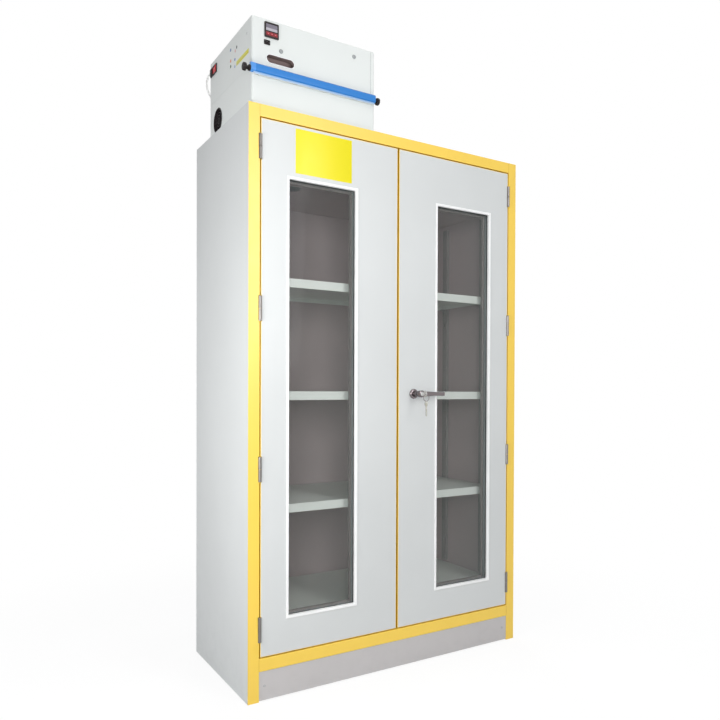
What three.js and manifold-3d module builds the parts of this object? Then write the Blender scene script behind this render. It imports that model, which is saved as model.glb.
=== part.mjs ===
// Two-door glazed safety cabinet with a filter unit standing on its top.
// Millimetres, +Z up. The doors face -Y and the middle of the cabinet's width is x = 0
// until the last lines move the origin under the middle of the whole outline.
import * as THREE from 'three';
import { mergeVertices } from 'three/addons/utils/BufferGeometryUtils.js';
import Module from 'manifold-3d';

const wasm = await Module();
wasm.setup();

// Cabinet, overall
const WIDTH = 1140;
const DEPTH = 560;
const HEIGHT = 1950;
const HALF = WIDTH / 2;
const SHEET = 1.5;
const SEAT = 0.3;

// Front frame
const POST_FACE = 38;
const TOP_RAIL_FACE = 40;
const BOTTOM_RAIL_FACE = 43;
const FRAME_DEPTH = 46;
const PLINTH_HEIGHT = 100;
const FLOOR_GAP = 1;

// Insulated lining
const LINER_FRONT = 48;
const WALL_THICKNESS = 67;
const REAR_WALL_FACE = 518;
const FLOOR_TOP = 172;
const CEILING = 1760;
const CEILING_BOARD = 50;
const HEADER_DEPTH = 42;
const PAN_TOP = 98;

// Doors
const DOOR_GAP = 4;
const CENTRE_GAP = 7;
const DOOR_THICKNESS = 44;
const SKIN = 1.2;
const LEAF_FRONT = SKIN + SEAT;
const DOOR_BOTTOM = PLINTH_HEIGHT + BOTTOM_RAIL_FACE + DOOR_GAP;
const DOOR_TOP = HEIGHT - TOP_RAIL_FACE - DOOR_GAP;
const HINGE_X = HALF - POST_FACE - DOOR_GAP / 2;
const HINGE_COUNT = 4;
const FIRST_HINGE = 238;
const HINGE_PITCH = 525;
const KNUCKLE_RADIUS = 5.5;
const KNUCKLE_LENGTH = 40.5;
const KNUCKLE_CLEARANCE = 0.8;
const PIN_RADIUS = 3;

// Windows, measured from the hinge axis towards the middle of the cabinet
const WINDOW_CENTRE = 227;
const WINDOW_MIDDLE_Z = 996.5;
const WINDOW_WIDTH = 252;
const WINDOW_HEIGHT = 1456;
const TRIM_FACE = 9;
const TRIM_PROUD = 2;
const TRIM_WALL = 1.7;
const GLASS_FRONT = 12;
const GLASS_THICKNESS = 18;
const STOP_WIDTH = 6;

// Shelves and tray
const SHELF_TOPS = [631, 1018, 1405];
const SHELF_FRONT = 60;
const SHELF_BACK = 500;
const SHELF_LIP = 30;
const SHELF_SIDE_LIP = 20;
const UPRIGHT_DEPTH = 12;
const UPRIGHT_WIDTH = 30;
const UPRIGHT_PLACES = [120, 380];
const TRAY_COVER_TOP = 250;

// Handle and lock, with the rods that it drives
const HANDLE_X = 70;
const HANDLE_Z = 1010;
const LEVER_REACH = 112;
const HUB_LENGTH = 60;
const HUB_HEAD_RADIUS = 12.5;
const LOCK_RADIUS = 8;
const GEAR_TEETH = 18;
const GEAR_MODULE = 1.5;
const GEAR_FRONT = 33.5;
const GEAR_THICKNESS = 7;
const BACKLASH = 0.3;
const ROD_THICKNESS = 6;
const ROD_BACK_EDGE = 25;
const ROD_CLEARANCE = 0.4;
const ROD_TIP_GAP = 1;

// Filter unit, whose own frame has its origin at its front lower left corner
const UNIT_LEFT = -556;
const UNIT_FRONT = 11;
const UNIT_WIDTH = 460;
const UNIT_DEPTH = 430;
const UNIT_HEIGHT = 284.7;
const UNIT_SEAM = 130;
const UNIT_CORNER = 8;
const UNIT_WALL = 2.5;
const BAR_DEPTH = 14;
const BAR_HEIGHT = 28;
const BAR_BOTTOM = 100;
const BAR_ENDS = [-8, 457];
const BAR_ROD_HEIGHT = 7.5;
const KNOB_STARTS = { left: 14.3, right: 5 };
const KNOB_LENGTH = 11;
const PORT_Y = 338;
const PORT_Z = 48.7;
const PORT_RADIUS = 42.5;
const PORT_DEPTH = 72;

// Mains lead
const CORD = 7;
const COIL_X = -330;
const COIL_Y = 500.5;
const COIL_OUTER = 50;
const COIL_PITCH = 7.55;
const COIL_RISE = 7.65;
const COIL_TURN_BACK = 2.75;
const COIL_TURNS = 5 + 1 / 12;
const PLUG_LENGTH = 74;
const PIN_LENGTH = 19;

// Furthest points of the rigid outline, which set the origin
const LEFTMOST = UNIT_LEFT + BAR_ENDS[0] - KNOB_STARTS.left - KNOB_LENGTH;
const FRONTMOST = -95;

// Solids from three.js geometry

function solid(geometry) {
  const bare = geometry.clone();
  bare.deleteAttribute('normal');
  bare.deleteAttribute('uv');
  const merged = mergeVertices(bare, 1e-4);
  const points = merged.attributes.position.array;
  const corners = Array.from(merged.index.array);
  if (signedVolume(points, corners) < 0) {
    corners.reverse();
  }
  return new wasm.Manifold(new wasm.Mesh({
    numProp: 3,
    vertProperties: new Float32Array(points),
    triVerts: new Uint32Array(corners),
  }));
}

function signedVolume(points, corners) {
  const a = new THREE.Vector3();
  const b = new THREE.Vector3();
  const c = new THREE.Vector3();
  let total = 0;
  for (let i = 0; i < corners.length; i += 3) {
    a.fromArray(points, corners[i] * 3);
    b.fromArray(points, corners[i + 1] * 3);
    c.fromArray(points, corners[i + 2] * 3);
    total += a.dot(b.cross(c)) / 6;
  }
  return total;
}

function block([x0, x1], [y0, y1], [z0, z1]) {
  const geometry = new THREE.BoxGeometry(x1 - x0, y1 - y0, z1 - z0);
  geometry.translate((x0 + x1) / 2, (y0 + y1) / 2, (z0 + z1) / 2);
  return solid(geometry);
}

function outline(points) {
  return new THREE.Shape(points.map(([x, y]) => new THREE.Vector2(x, y)));
}

function prism(shape, depth, options = {}) {
  const settings = { depth, bevelEnabled: false, curveSegments: 4, ...options };
  return new THREE.ExtrudeGeometry(shape, settings);
}

// A profile in X and Y, carried up from z0 to z1
function prismZ(shape, [z0, z1], options) {
  return solid(prism(shape, z1 - z0, options).translate(0, 0, z0));
}

// A profile in Y and Z, carried along X from x0 to x1
function prismX(shape, [x0, x1], options) {
  const turn = new THREE.Matrix4().set(0, 0, 1, x0, 1, 0, 0, 0, 0, 1, 0, 0, 0, 0, 0, 1);
  return solid(prism(shape, x1 - x0, options).applyMatrix4(turn));
}

// A profile in X and Z, carried along Y from y0 to y1
function prismY(shape, [y0, y1], options) {
  return solid(prism(shape, y1 - y0, options).rotateX(Math.PI / 2).translate(0, y1, 0));
}

function rectangle([x0, x1], [y0, y1], radius = 0) {
  const shape = new THREE.Shape();
  if (radius === 0) {
    return outline([[x0, y0], [x1, y0], [x1, y1], [x0, y1]]);
  }
  shape.absarc(x1 - radius, y0 + radius, radius, -Math.PI / 2, 0);
  shape.absarc(x1 - radius, y1 - radius, radius, 0, Math.PI / 2);
  shape.absarc(x0 + radius, y1 - radius, radius, Math.PI / 2, Math.PI);
  shape.absarc(x0 + radius, y0 + radius, radius, Math.PI, Math.PI * 1.5);
  return shape;
}

// A profile of [radius, height] turned about the X, Y or Z axis
function turned(profile, axis, sides = 24) {
  const points = profile.map(([r, h]) => new THREE.Vector2(r, h));
  const geometry = new THREE.LatheGeometry(points, sides);
  if (axis === 'x') {
    geometry.rotateZ(-Math.PI / 2);
  }
  if (axis === 'z') {
    geometry.rotateX(Math.PI / 2);
  }
  return solid(geometry);
}

function rod(radius, [from, to], axis, sides = 20) {
  return turned([[0, from], [radius, from], [radius, to], [0, to]], axis, sides);
}

function ring(inner, outer, [from, to], axis, sides = 24) {
  return turned([[inner, from], [outer, from], [outer, to], [inner, to], [inner, from]], axis, sides);
}

// A skin over rings of equal length, closed at both ends
function loft(rings) {
  const count = rings[0].length;
  const points = rings.flat();
  const corners = [];
  for (let i = 0; i + 1 < rings.length; i += 1) {
    for (let j = 0; j < count; j += 1) {
      const next = (j + 1) % count;
      const low = i * count;
      const high = low + count;
      corners.push(low + j, low + next, high + next, low + j, high + next, high + j);
    }
  }
  const last = (rings.length - 1) * count;
  for (let j = 1; j + 1 < count; j += 1) {
    corners.push(0, j + 1, j, last, last + j, last + j + 1);
  }
  const geometry = new THREE.BufferGeometry();
  geometry.setAttribute('position', new THREE.Float32BufferAttribute(points.flat(), 3));
  geometry.setIndex(corners);
  return solid(geometry);
}

// Points round a rounded rectangle of half sizes a and b
function roundedSection(a, b, sides = 16, squareness = 3) {
  const points = [];
  for (let i = 0; i < sides; i += 1) {
    const angle = (2 * Math.PI * (i + 0.5)) / sides;
    const c = Math.cos(angle);
    const s = Math.sin(angle);
    const u = a * Math.sign(c) * Math.abs(c) ** (2 / squareness);
    const v = b * Math.sign(s) * Math.abs(s) ** (2 / squareness);
    points.push([u, v]);
  }
  return points;
}

function join(...bodies) {
  return bodies.reduce((whole, body) => whole.add(body));
}

function paint(colour, roughness, metalness) {
  return new THREE.MeshStandardMaterial({ color: colour, roughness, metalness });
}

const paints = {
  grey: () => paint(0xd6d8d9, 0.42, 0),
  yellow: () => paint(0xf7cf45, 0.4, 0),
  white: () => paint(0xf1f5f4, 0.35, 0),
  board: () => paint(0x8a8684, 0.6, 0),
  shelf: () => paint(0xdde3dc, 0.4, 0),
  glass: () => paint(0x9aa3a5, 0.05, 0),
  rubber: () => paint(0x1c1c1e, 0.85, 0),
  black: () => paint(0x151214, 0.4, 0),
  red: () => paint(0xc81f2c, 0.35, 0),
  blue: () => paint(0x2f7fe0, 0.35, 0),
  chrome: () => paint(0xb9b6b8, 0.15, 1),
  steel: () => paint(0xa7a8a8, 0.35, 1),
  nickel: () => paint(0xa9a8a4, 0.3, 1),
  unit: () => paint(0xe4e8e6, 0.4, 0),
  cord: () => paint(0xe2e2e0, 0.5, 0),
};

function piece(name, body, material) {
  const mesh3 = body.getMesh();
  const geometry = new THREE.BufferGeometry();
  geometry.setAttribute('position', new THREE.BufferAttribute(new Float32Array(mesh3.vertProperties), 3));
  geometry.setIndex(new THREE.BufferAttribute(new Uint32Array(mesh3.triVerts), 1));
  geometry.computeVertexNormals();
  const mesh = new THREE.Mesh(geometry, material());
  mesh.name = name;
  return mesh;
}

function sideName(side) {
  return side < 0 ? 'left' : 'right';
}

// Distance s from the hinge axis towards the middle, on the left (-1) or right (1) door
function fromHinge(side, s0, s1) {
  const ends = [side * (HINGE_X - s0), side * (HINGE_X - s1)];
  return [Math.min(...ends), Math.max(...ends)];
}

function fromOuterSide(side, points) {
  return outline(points.map(([o, y]) => [side * (HALF - o), y]));
}

function hingeHeights() {
  return Array.from({ length: HINGE_COUNT }, (_, i) => FIRST_HINGE + i * HINGE_PITCH);
}

// Front frame: folded posts that carry the lower knuckles and their pins

function post(side) {
  const inner = POST_FACE - SHEET;
  const behindSkin = SHEET + SEAT;
  let body = prismZ(fromOuterSide(side, [
    [0, 0], [POST_FACE, 0], [POST_FACE, FRAME_DEPTH], [22, FRAME_DEPTH],
    [22, FRAME_DEPTH - SHEET], [inner, FRAME_DEPTH - SHEET], [inner, SHEET],
    [behindSkin + SHEET, SHEET], [behindSkin + SHEET, 30], [behindSkin, 30],
    [behindSkin, SHEET], [0, SHEET],
  ]), [FLOOR_GAP, HEIGHT]);
  const underTop = HEIGHT - SHEET - SEAT;
  body = body.subtract(block([-HALF, HALF], [SHEET, FRAME_DEPTH + 1], [underTop, HEIGHT + 1]));
  for (const height of hingeHeights()) {
    const low = height - KNUCKLE_LENGTH - 0.5;
    const pinTop = height + KNUCKLE_LENGTH - 8;
    const axisAt = [side * HINGE_X, 0, 0];
    const room = rod(KNUCKLE_RADIUS + KNUCKLE_CLEARANCE, [height - 0.5, height + KNUCKLE_LENGTH + 2], 'z', 16);
    const knuckle = rod(KNUCKLE_RADIUS, [low, height - 0.5], 'z', 16);
    const pin = rod(PIN_RADIUS, [height - 1, pinTop], 'z', 12);
    body = body.subtract(room.translate(axisAt)).add(join(knuckle, pin).translate(axisAt));
  }
  return piece(`${sideName(side)}_post`, body, paints.yellow);
}

function railProfile(face) {
  return [
    [0, 0], [FRAME_DEPTH, 0], [FRAME_DEPTH, 14], [FRAME_DEPTH - SHEET, 14],
    [FRAME_DEPTH - SHEET, SHEET], [SHEET, SHEET], [SHEET, face - 2 * SHEET - SEAT],
    [30, face - 2 * SHEET - SEAT], [30, face - SHEET - SEAT], [SHEET, face - SHEET - SEAT],
    [SHEET, face], [0, face],
  ];
}

const BETWEEN_POSTS = [-(HALF - POST_FACE - SEAT), HALF - POST_FACE - SEAT];

function rodHole(side) {
  const middle = HANDLE_X + side * (ROD_BACK_EDGE - 5);
  return [[middle - 8, middle + 8], [30, 43]];
}

function topRail() {
  const bottom = HEIGHT - TOP_RAIL_FACE;
  const profile = railProfile(TOP_RAIL_FACE).map(([y, z]) => [y, bottom + z]);
  const [holeX, holeY] = rodHole(1);
  const hole = block(holeX, holeY, [bottom - 1, bottom + 3]);
  return piece('top_rail', prismX(outline(profile), BETWEEN_POSTS).subtract(hole), paints.yellow);
}

function bottomRail() {
  const top = PLINTH_HEIGHT + BOTTOM_RAIL_FACE;
  const profile = railProfile(BOTTOM_RAIL_FACE).map(([y, z]) => [y, top - z]);
  const [holeX, holeY] = rodHole(-1);
  const hole = block(holeX, holeY, [top - 3, top + 1]);
  return piece('bottom_rail', prismX(outline(profile), BETWEEN_POSTS).subtract(hole), paints.yellow);
}

function plinthPanel() {
  const top = PLINTH_HEIGHT - SEAT;
  const set = 2;
  const fold = 22;
  return piece('plinth_panel', prismX(outline([
    [set, 4], [fold, 4], [fold, 4 + SHEET], [set + SHEET, 4 + SHEET],
    [set + SHEET, top - SHEET], [fold, top - SHEET], [fold, top], [set, top],
  ]), BETWEEN_POSTS), paints.grey);
}

// Outer sheets

function sidePanel(side) {
  const start = SHEET + SEAT;
  const body = prismZ(fromOuterSide(side, [
    [0, start], [SHEET, start], [SHEET, DEPTH - SHEET],
    [20, DEPTH - SHEET], [20, DEPTH], [0, DEPTH],
  ]), [FLOOR_GAP, HEIGHT]);
  return piece(`${sideName(side)}_side_panel`, body, paints.grey);
}

function backPanel() {
  const edge = HALF - 20 - SEAT;
  let body = block([-edge, edge], [DEPTH - SHEET, DEPTH], [2, HEIGHT]);
  const swage = rectangle([-edge + 60, edge - 60], [-18, 18], 12);
  for (const height of [400, 1000, 1600]) {
    const face = DEPTH - 0.6;
    body = body.subtract(prismY(swage, [face, DEPTH + 1], { curveSegments: 2 }).translate([0, 0, height]));
  }
  return piece('back_panel', body, paints.grey);
}

const DUCT_X = UNIT_LEFT + UNIT_WIDTH / 2;
const DUCT_Y = UNIT_FRONT + UNIT_DEPTH / 2;
const DUCT_RADIUS = 37.5;

function topPanel() {
  const edge = HALF - SHEET - SEAT;
  const plate = block([-edge, edge], [SHEET + SEAT, DEPTH - SHEET - SEAT], [HEIGHT - SHEET, HEIGHT]);
  const hole = rod(DUCT_RADIUS + 0.8, [HEIGHT - 5, HEIGHT + 1], 'z').translate([DUCT_X, DUCT_Y, 0]);
  return piece('top_panel', plate.subtract(hole), paints.grey);
}

// Carrying pan on four levelling feet
function basePan() {
  const edge = HALF - SHEET - SEAT;
  const back = DEPTH - SHEET - SEAT;
  const shell = block([-edge, edge], [LINER_FRONT, back], [PAN_TOP - 42, PAN_TOP]);
  const inside = block([-edge + 2, edge - 2], [LINER_FRONT + 2, back - 2], [PAN_TOP - 50, PAN_TOP - 2]);
  let body = shell.subtract(inside);
  const foot = turned([[0, 0], [24, 0], [25, 2], [25, 6], [9, 12], [9, 20], [6, 22], [6, PAN_TOP - 1], [0, PAN_TOP - 1]], 'z', 16);
  for (const x of [-510, 510]) {
    for (const y of [LINER_FRONT + 42, back - 50]) {
      body = body.add(foot.translate([x, y, 0]));
    }
  }
  return piece('base_pan', body, paints.steel);
}

// Insulated lining of separate boards

const INSIDE = HALF - WALL_THICKNESS;
const BOARD_END = DEPTH - SHEET - SEAT;

function innerWall(side) {
  const outer = HALF - SHEET - SEAT;
  const x = [side * outer, side * INSIDE].sort((a, b) => a - b);
  const body = block(x, [LINER_FRONT, BOARD_END], [PAN_TOP + SEAT, HEIGHT - SHEET - SEAT]);
  return piece(`${sideName(side)}_inner_wall`, body, paints.board);
}

function liningWidth() {
  return [-(INSIDE - SEAT), INSIDE - SEAT];
}

function floorBoard() {
  const body = block(liningWidth(), [LINER_FRONT, BOARD_END], [PAN_TOP + SEAT, FLOOR_TOP]);
  return piece('floor_board', body, paints.board);
}

function rearInnerWall() {
  const body = block(liningWidth(), [REAR_WALL_FACE, BOARD_END], [FLOOR_TOP + SEAT, CEILING - SEAT]);
  return piece('rear_inner_wall', body, paints.board);
}

function ceilingBoard() {
  const top = HEIGHT - SHEET - SEAT;
  const header = LINER_FRONT + HEADER_DEPTH;
  const body = prismX(outline([
    [LINER_FRONT, CEILING], [BOARD_END, CEILING], [BOARD_END, CEILING + CEILING_BOARD],
    [header, CEILING + CEILING_BOARD], [header, top], [LINER_FRONT, top],
  ]), liningWidth());
  const hole = rod(DUCT_RADIUS + 0.8, [CEILING - 1, CEILING + CEILING_BOARD + 1], 'z');
  return piece('ceiling_board', body.subtract(hole.translate([DUCT_X, DUCT_Y, 0])), paints.board);
}

function exhaustDuct() {
  const body = ring(DUCT_RADIUS - 1.5, DUCT_RADIUS, [CEILING + 1, HEIGHT], 'z');
  const bead = ring(DUCT_RADIUS - 0.5, DUCT_RADIUS + 3, [CEILING + CEILING_BOARD + 2, CEILING + CEILING_BOARD + 8], 'z');
  return piece('exhaust_duct', join(body, bead).translate([DUCT_X, DUCT_Y, 0]), paints.steel);
}

function frameSeal() {
  const width = 20;
  const outerX = HINGE_X - 4;
  const low = DOOR_BOTTOM + 2;
  const high = DOOR_TOP - 2;
  const outer = rectangle([-outerX, outerX], [low, high]);
  outer.holes.push(rectangle([-outerX + width, outerX - width], [low + width, high - width]));
  const body = prismY(outer, [DOOR_THICKNESS + 0.6, LINER_FRONT - SEAT]);
  return piece('frame_seal', body, paints.rubber);
}

// Shelving

function upright(side, place, index) {
  const wall = INSIDE - SEAT;
  const low = TRAY_COVER_TOP + 10;
  const high = CEILING - 20;
  const half = UPRIGHT_WIDTH / 2;
  const face = UPRIGHT_DEPTH;
  const profile = [
    [0, -half], [face, -half], [face, half], [0, half], [0, half - SHEET],
    [face - SHEET, half - SHEET], [face - SHEET, SHEET - half], [0, SHEET - half],
  ].map(([d, y]) => [side * (wall - d), place + y]);
  let body = prismZ(outline(profile), [low, high]);
  const slotPitch = 96.75;
  for (let z = SHELF_TOPS[0] - 3 * slotPitch; z < high - 20; z += slotPitch) {
    if (z > low + 20) {
      const slot = block([-8, 8], [-3, 3], [0, 16]);
      body = body.subtract(slot.translate([side * (wall - face), place, z]));
    }
  }
  for (const top of SHELF_TOPS) {
    const seat = top - SHELF_SIDE_LIP - SEAT;
    const reach = [side * (wall - face + 1), side * (wall - face - 20)].sort((a, b) => a - b);
    const clip = block(reach, [place - 9, place + 9], [seat - 3, seat]);
    const web = prismY(outline([[0, 0], [-19, 0], [-1, -16], [0, -16]].map(([d, z]) => [-side * d * -1, z])), [-1, 1]);
    body = body.add(clip).add(web.translate([side * (wall - face + 1), place, seat - 2]));
  }
  return piece(`${sideName(side)}_shelf_upright_${index + 1}`, body, paints.board);
}

function shelf(top, index) {
  const edge = INSIDE - SEAT - UPRIGHT_DEPTH - 3;
  const profile = outline([
    [SHELF_FRONT, 0], [SHELF_BACK, 0], [SHELF_BACK, -SHELF_SIDE_LIP], [SHELF_BACK - SHEET, -SHELF_SIDE_LIP],
    [SHELF_BACK - SHEET, -SHEET], [SHELF_FRONT + SHEET, -SHEET], [SHELF_FRONT + SHEET, SHEET - SHELF_LIP],
    [SHELF_FRONT + 12, SHEET - SHELF_LIP], [SHELF_FRONT + 12, -SHELF_LIP], [SHELF_FRONT, -SHELF_LIP],
  ]);
  const inset = 0.4;
  const lipZ = [inset - SHELF_SIDE_LIP, -0.75];
  const lip = block([inset - edge, inset - edge + SHEET], [SHELF_FRONT + 0.75, SHELF_BACK - 0.75], lipZ);
  const other = lip.translate([2 * (edge - inset) - SHEET, 0, 0]);
  const body = join(prismX(profile, [-edge, edge]), lip, other);
  const mesh = piece(`shelf_${index + 1}`, body, paints.shelf);
  mesh.position.z = top;
  return mesh;
}

function spillTray() {
  const edge = INSIDE - SEAT - 4;
  const low = FLOOR_TOP + SEAT;
  const high = TRAY_COVER_TOP - 12;
  const front = SHELF_FRONT - 4;
  const back = REAR_WALL_FACE - 2;
  const rim = block([-edge, edge], [front, back - 0.4], [high - 2, high]);
  const pan = block([-edge + 10, edge - 10], [front + 10, back], [low, high - 0.4]);
  const well = block([-edge + 12, edge - 12], [front + 12, back - 2], [low + 2, high + 1]);
  return piece('spill_tray', join(rim, pan).subtract(well), paints.shelf);
}

// Loose lid of the tray, short at the back so that a spill runs in there
function trayCover() {
  const edge = INSIDE - SEAT - 3;
  const y = [SHELF_FRONT - 6, REAR_WALL_FACE - 13];
  const bottom = TRAY_COVER_TOP - 12 + SEAT;
  const outer = block([-edge, edge], y, [bottom, TRAY_COVER_TOP]);
  const inner = block([-edge + 2, edge - 2], [y[0] + 2, y[1] - 2], [bottom - 1, TRAY_COVER_TOP - 2]);
  return piece('tray_cover', outer.subtract(inner), paints.shelf);
}

// Doors

function windowBox(side, grow, y) {
  const half = WINDOW_WIDTH / 2 + grow;
  const tall = WINDOW_HEIGHT / 2 + grow;
  const x = fromHinge(side, WINDOW_CENTRE - half, WINDOW_CENTRE + half);
  return block(x, y, [WINDOW_MIDDLE_Z - tall, WINDOW_MIDDLE_Z + tall]);
}

function leafBody(side) {
  const x = fromHinge(side, DOOR_GAP / 2, HINGE_X - CENTRE_GAP / 2);
  let body = block(x, [LEAF_FRONT, DOOR_THICKNESS], [DOOR_BOTTOM, DOOR_TOP]);
  const rebate = GLASS_FRONT + GLASS_THICKNESS + SEAT;
  body = body.subtract(windowBox(side, 2, [0, rebate]));
  body = body.subtract(windowBox(side, 2 - STOP_WIDTH, [0, DOOR_THICKNESS + 1]));
  for (const height of hingeHeights()) {
    const axisAt = [side * HINGE_X, 0, 0];
    const high = height + KNUCKLE_LENGTH + 0.5;
    const room = rod(KNUCKLE_RADIUS + KNUCKLE_CLEARANCE, [height - KNUCKLE_LENGTH - 2, height + 0.5], 'z', 16);
    const knuckle = rod(KNUCKLE_RADIUS, [height + 0.5, high], 'z', 16);
    const bore = rod(PIN_RADIUS + 0.4, [height, high - 6], 'z', 16);
    body = body.subtract(room.translate(axisAt)).add(knuckle.translate(axisAt)).subtract(bore.translate(axisAt));
  }
  return body;
}

// Room for the pinion and both rods, open at the back of the right door
function rodChannels() {
  const y = [GEAR_FRONT - 0.5, DOOR_THICKNESS + 1];
  const back = ROD_BACK_EDGE + ROD_CLEARANCE;
  const rackSide = GEAR_MODULE * (GEAR_TEETH / 2 - 1) - 0.5;
  const barSide = rackFoot() - ROD_CLEARANCE;
  const up = DOOR_TOP - HANDLE_Z + 1;
  const down = DOOR_BOTTOM - HANDLE_Z - 1;
  const pocket = rod(GEAR_MODULE * (GEAR_TEETH / 2 + 1) + 0.8, y, 'y', 24);
  const spindle = rod(6.5, [0, DOOR_THICKNESS], 'y', 16);
  return join(
    pocket,
    spindle,
    block([rackSide, back], y, [-36, 42]),
    block([barSide, back], y, [40, up]),
    block([-back, -rackSide], y, [-42, 36]),
    block([-back, -barSide], y, [down, -40]),
  ).translate([HANDLE_X, 0, HANDLE_Z]);
}

function doorLeaf(side) {
  const body = leafBody(side);
  const shaped = side > 0 ? body.subtract(rodChannels()) : body;
  return piece(`${sideName(side)}_door_leaf`, shaped, paints.yellow);
}

function doorSkin(side) {
  const x = fromHinge(side, DOOR_GAP / 2 + 0.5, HINGE_X - CENTRE_GAP / 2 - 0.5);
  let body = block(x, [0, SKIN], [DOOR_BOTTOM + 0.5, DOOR_TOP - 0.5]);
  body = body.subtract(windowBox(side, 2.3, [-1, SKIN + 1]));
  for (const height of hingeHeights()) {
    const reach = KNUCKLE_LENGTH + 2;
    const room = rod(KNUCKLE_RADIUS + KNUCKLE_CLEARANCE, [height - reach, height + reach], 'z', 16);
    body = body.subtract(room.translate([side * HINGE_X, 0, 0]));
  }
  if (side > 0) {
    body = body.subtract(rod(10.5, [-1, SKIN + 1], 'y').translate([HANDLE_X, 0, HANDLE_Z]));
  }
  return piece(`${sideName(side)}_door_skin`, body, paints.grey);
}

// White frame round the glass: a bevelled face with a return that holds the glass
function windowTrim(side) {
  const half = WINDOW_WIDTH / 2;
  const tall = WINDOW_HEIGHT / 2;
  const bevel = 0.8;
  const outerX = half + TRIM_FACE - bevel;
  const outerZ = tall + TRIM_FACE - bevel;
  const shape = rectangle([-outerX, outerX], [-outerZ, outerZ]);
  shape.holes.push(rectangle([-half - bevel, half + bevel], [-tall - bevel, tall + bevel]));
  const options = { bevelEnabled: true, bevelSize: bevel, bevelThickness: bevel, bevelSegments: 1 };
  const face = prismY(shape, [-TRIM_PROUD + bevel, -SEAT - bevel], options);
  const wallX = half + TRIM_WALL;
  const wallZ = tall + TRIM_WALL;
  const wall = rectangle([-wallX, wallX], [-wallZ, wallZ]);
  wall.holes.push(rectangle([-half - 0.01, half + 0.01], [-tall - 0.01, tall + 0.01]));
  const body = face.add(prismY(wall, [-SEAT - 0.9, GLASS_FRONT - SEAT]));
  const mesh = piece(`${sideName(side)}_window_trim`, body, paints.white);
  mesh.position.set(side * (HINGE_X - WINDOW_CENTRE), 0, WINDOW_MIDDLE_Z);
  return mesh;
}

function windowGlass(side) {
  const body = windowBox(side, 2 - SEAT, [GLASS_FRONT, GLASS_FRONT + GLASS_THICKNESS]);
  return piece(`${sideName(side)}_window_glass`, body, paints.glass);
}

// Rack and pinion of the lock rods, in a frame centred on the handle's spindle

function rackFoot() {
  return GEAR_MODULE * (GEAR_TEETH / 2 + 1.25);
}

// Involute gear outline in the X and Z plane
function gearOutline() {
  const pitchRadius = (GEAR_MODULE * GEAR_TEETH) / 2;
  const pressure = THREE.MathUtils.degToRad(20);
  const base = pitchRadius * Math.cos(pressure);
  const tip = pitchRadius + GEAR_MODULE;
  const root = pitchRadius - 1.25 * GEAR_MODULE;
  const halfTooth = (Math.PI * GEAR_MODULE / 2 - BACKLASH) / 2 / pitchRadius;
  const involute = (radius) => {
    const alpha = Math.acos(Math.min(1, base / radius));
    return Math.tan(alpha) - alpha;
  };
  const halfAngle = (radius) => halfTooth + involute(pitchRadius) - involute(radius);
  const steps = 4;
  const points = [];
  for (let tooth = 0; tooth < GEAR_TEETH; tooth += 1) {
    const middle = (2 * Math.PI * tooth) / GEAR_TEETH;
    const flank = [[root, halfAngle(base)]];
    for (let i = 0; i <= steps; i += 1) {
      const radius = base + ((tip - base) * i) / steps;
      flank.push([radius, halfAngle(radius)]);
    }
    for (const [radius, angle] of flank) {
      points.push([radius * Math.cos(middle - angle), radius * Math.sin(middle - angle)]);
    }
    for (const [radius, angle] of flank.slice().reverse()) {
      points.push([radius * Math.cos(middle + angle), radius * Math.sin(middle + angle)]);
    }
  }
  return outline(points);
}

function pinion() {
  const y = [GEAR_FRONT, GEAR_FRONT + GEAR_THICKNESS];
  const squareHole = block([-4.2, 4.2], [y[0] - 1, y[1] + 1], [-4.2, 4.2]);
  return piece('latch_pinion', prismY(gearOutline(), y).subtract(squareHole), paints.steel);
}

// A flat bar whose toothed end meets the pinion, from the teeth up to its chamfered tip
function rodShape(tipAt) {
  const pitchLine = (GEAR_MODULE * GEAR_TEETH) / 2;
  const tipLine = pitchLine - GEAR_MODULE;
  const foot = rackFoot();
  const pitch = Math.PI * GEAR_MODULE;
  const lean = Math.tan(THREE.MathUtils.degToRad(20));
  const quarter = (pitch / 2 - BACKLASH) / 2;
  const atTip = quarter - GEAR_MODULE * lean;
  const atFoot = quarter + 1.25 * GEAR_MODULE * lean;
  const points = [[ROD_BACK_EDGE, tipAt - 4], [ROD_BACK_EDGE, -10], [foot, -10]];
  for (let tooth = -2; tooth <= 6; tooth += 1) {
    const middle = (tooth + 0.5) * pitch;
    points.push([foot, middle - atFoot], [tipLine, middle - atTip]);
    points.push([tipLine, middle + atTip], [foot, middle + atFoot]);
  }
  points.push([foot, tipAt - 4], [foot + 3, tipAt], [ROD_BACK_EDGE - 3, tipAt]);
  return outline(points);
}

function latchRod(name, side) {
  const reach = side > 0
    ? HEIGHT - TOP_RAIL_FACE - ROD_TIP_GAP - HANDLE_Z
    : HANDLE_Z - PLINTH_HEIGHT - BOTTOM_RAIL_FACE - ROD_TIP_GAP;
  const y = [GEAR_FRONT + 0.5, GEAR_FRONT + 0.5 + ROD_THICKNESS];
  const body = prismY(rodShape(reach), y);
  const mesh = piece(name, side > 0 ? body : body.rotate([0, 180, 0]), paints.steel);
  return mesh;
}

// Handle: a hub with the lock in its head, a tapering lever and a square spindle

function handleRose() {
  const body = turned([[10.2, -0.3], [18, -0.3], [18, -5], [16.5, -7.5], [14, -8.5], [10.2, -8.5], [10.2, -0.3]], 'y', 28);
  return piece('handle_rose', body, paints.chrome);
}

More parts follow.
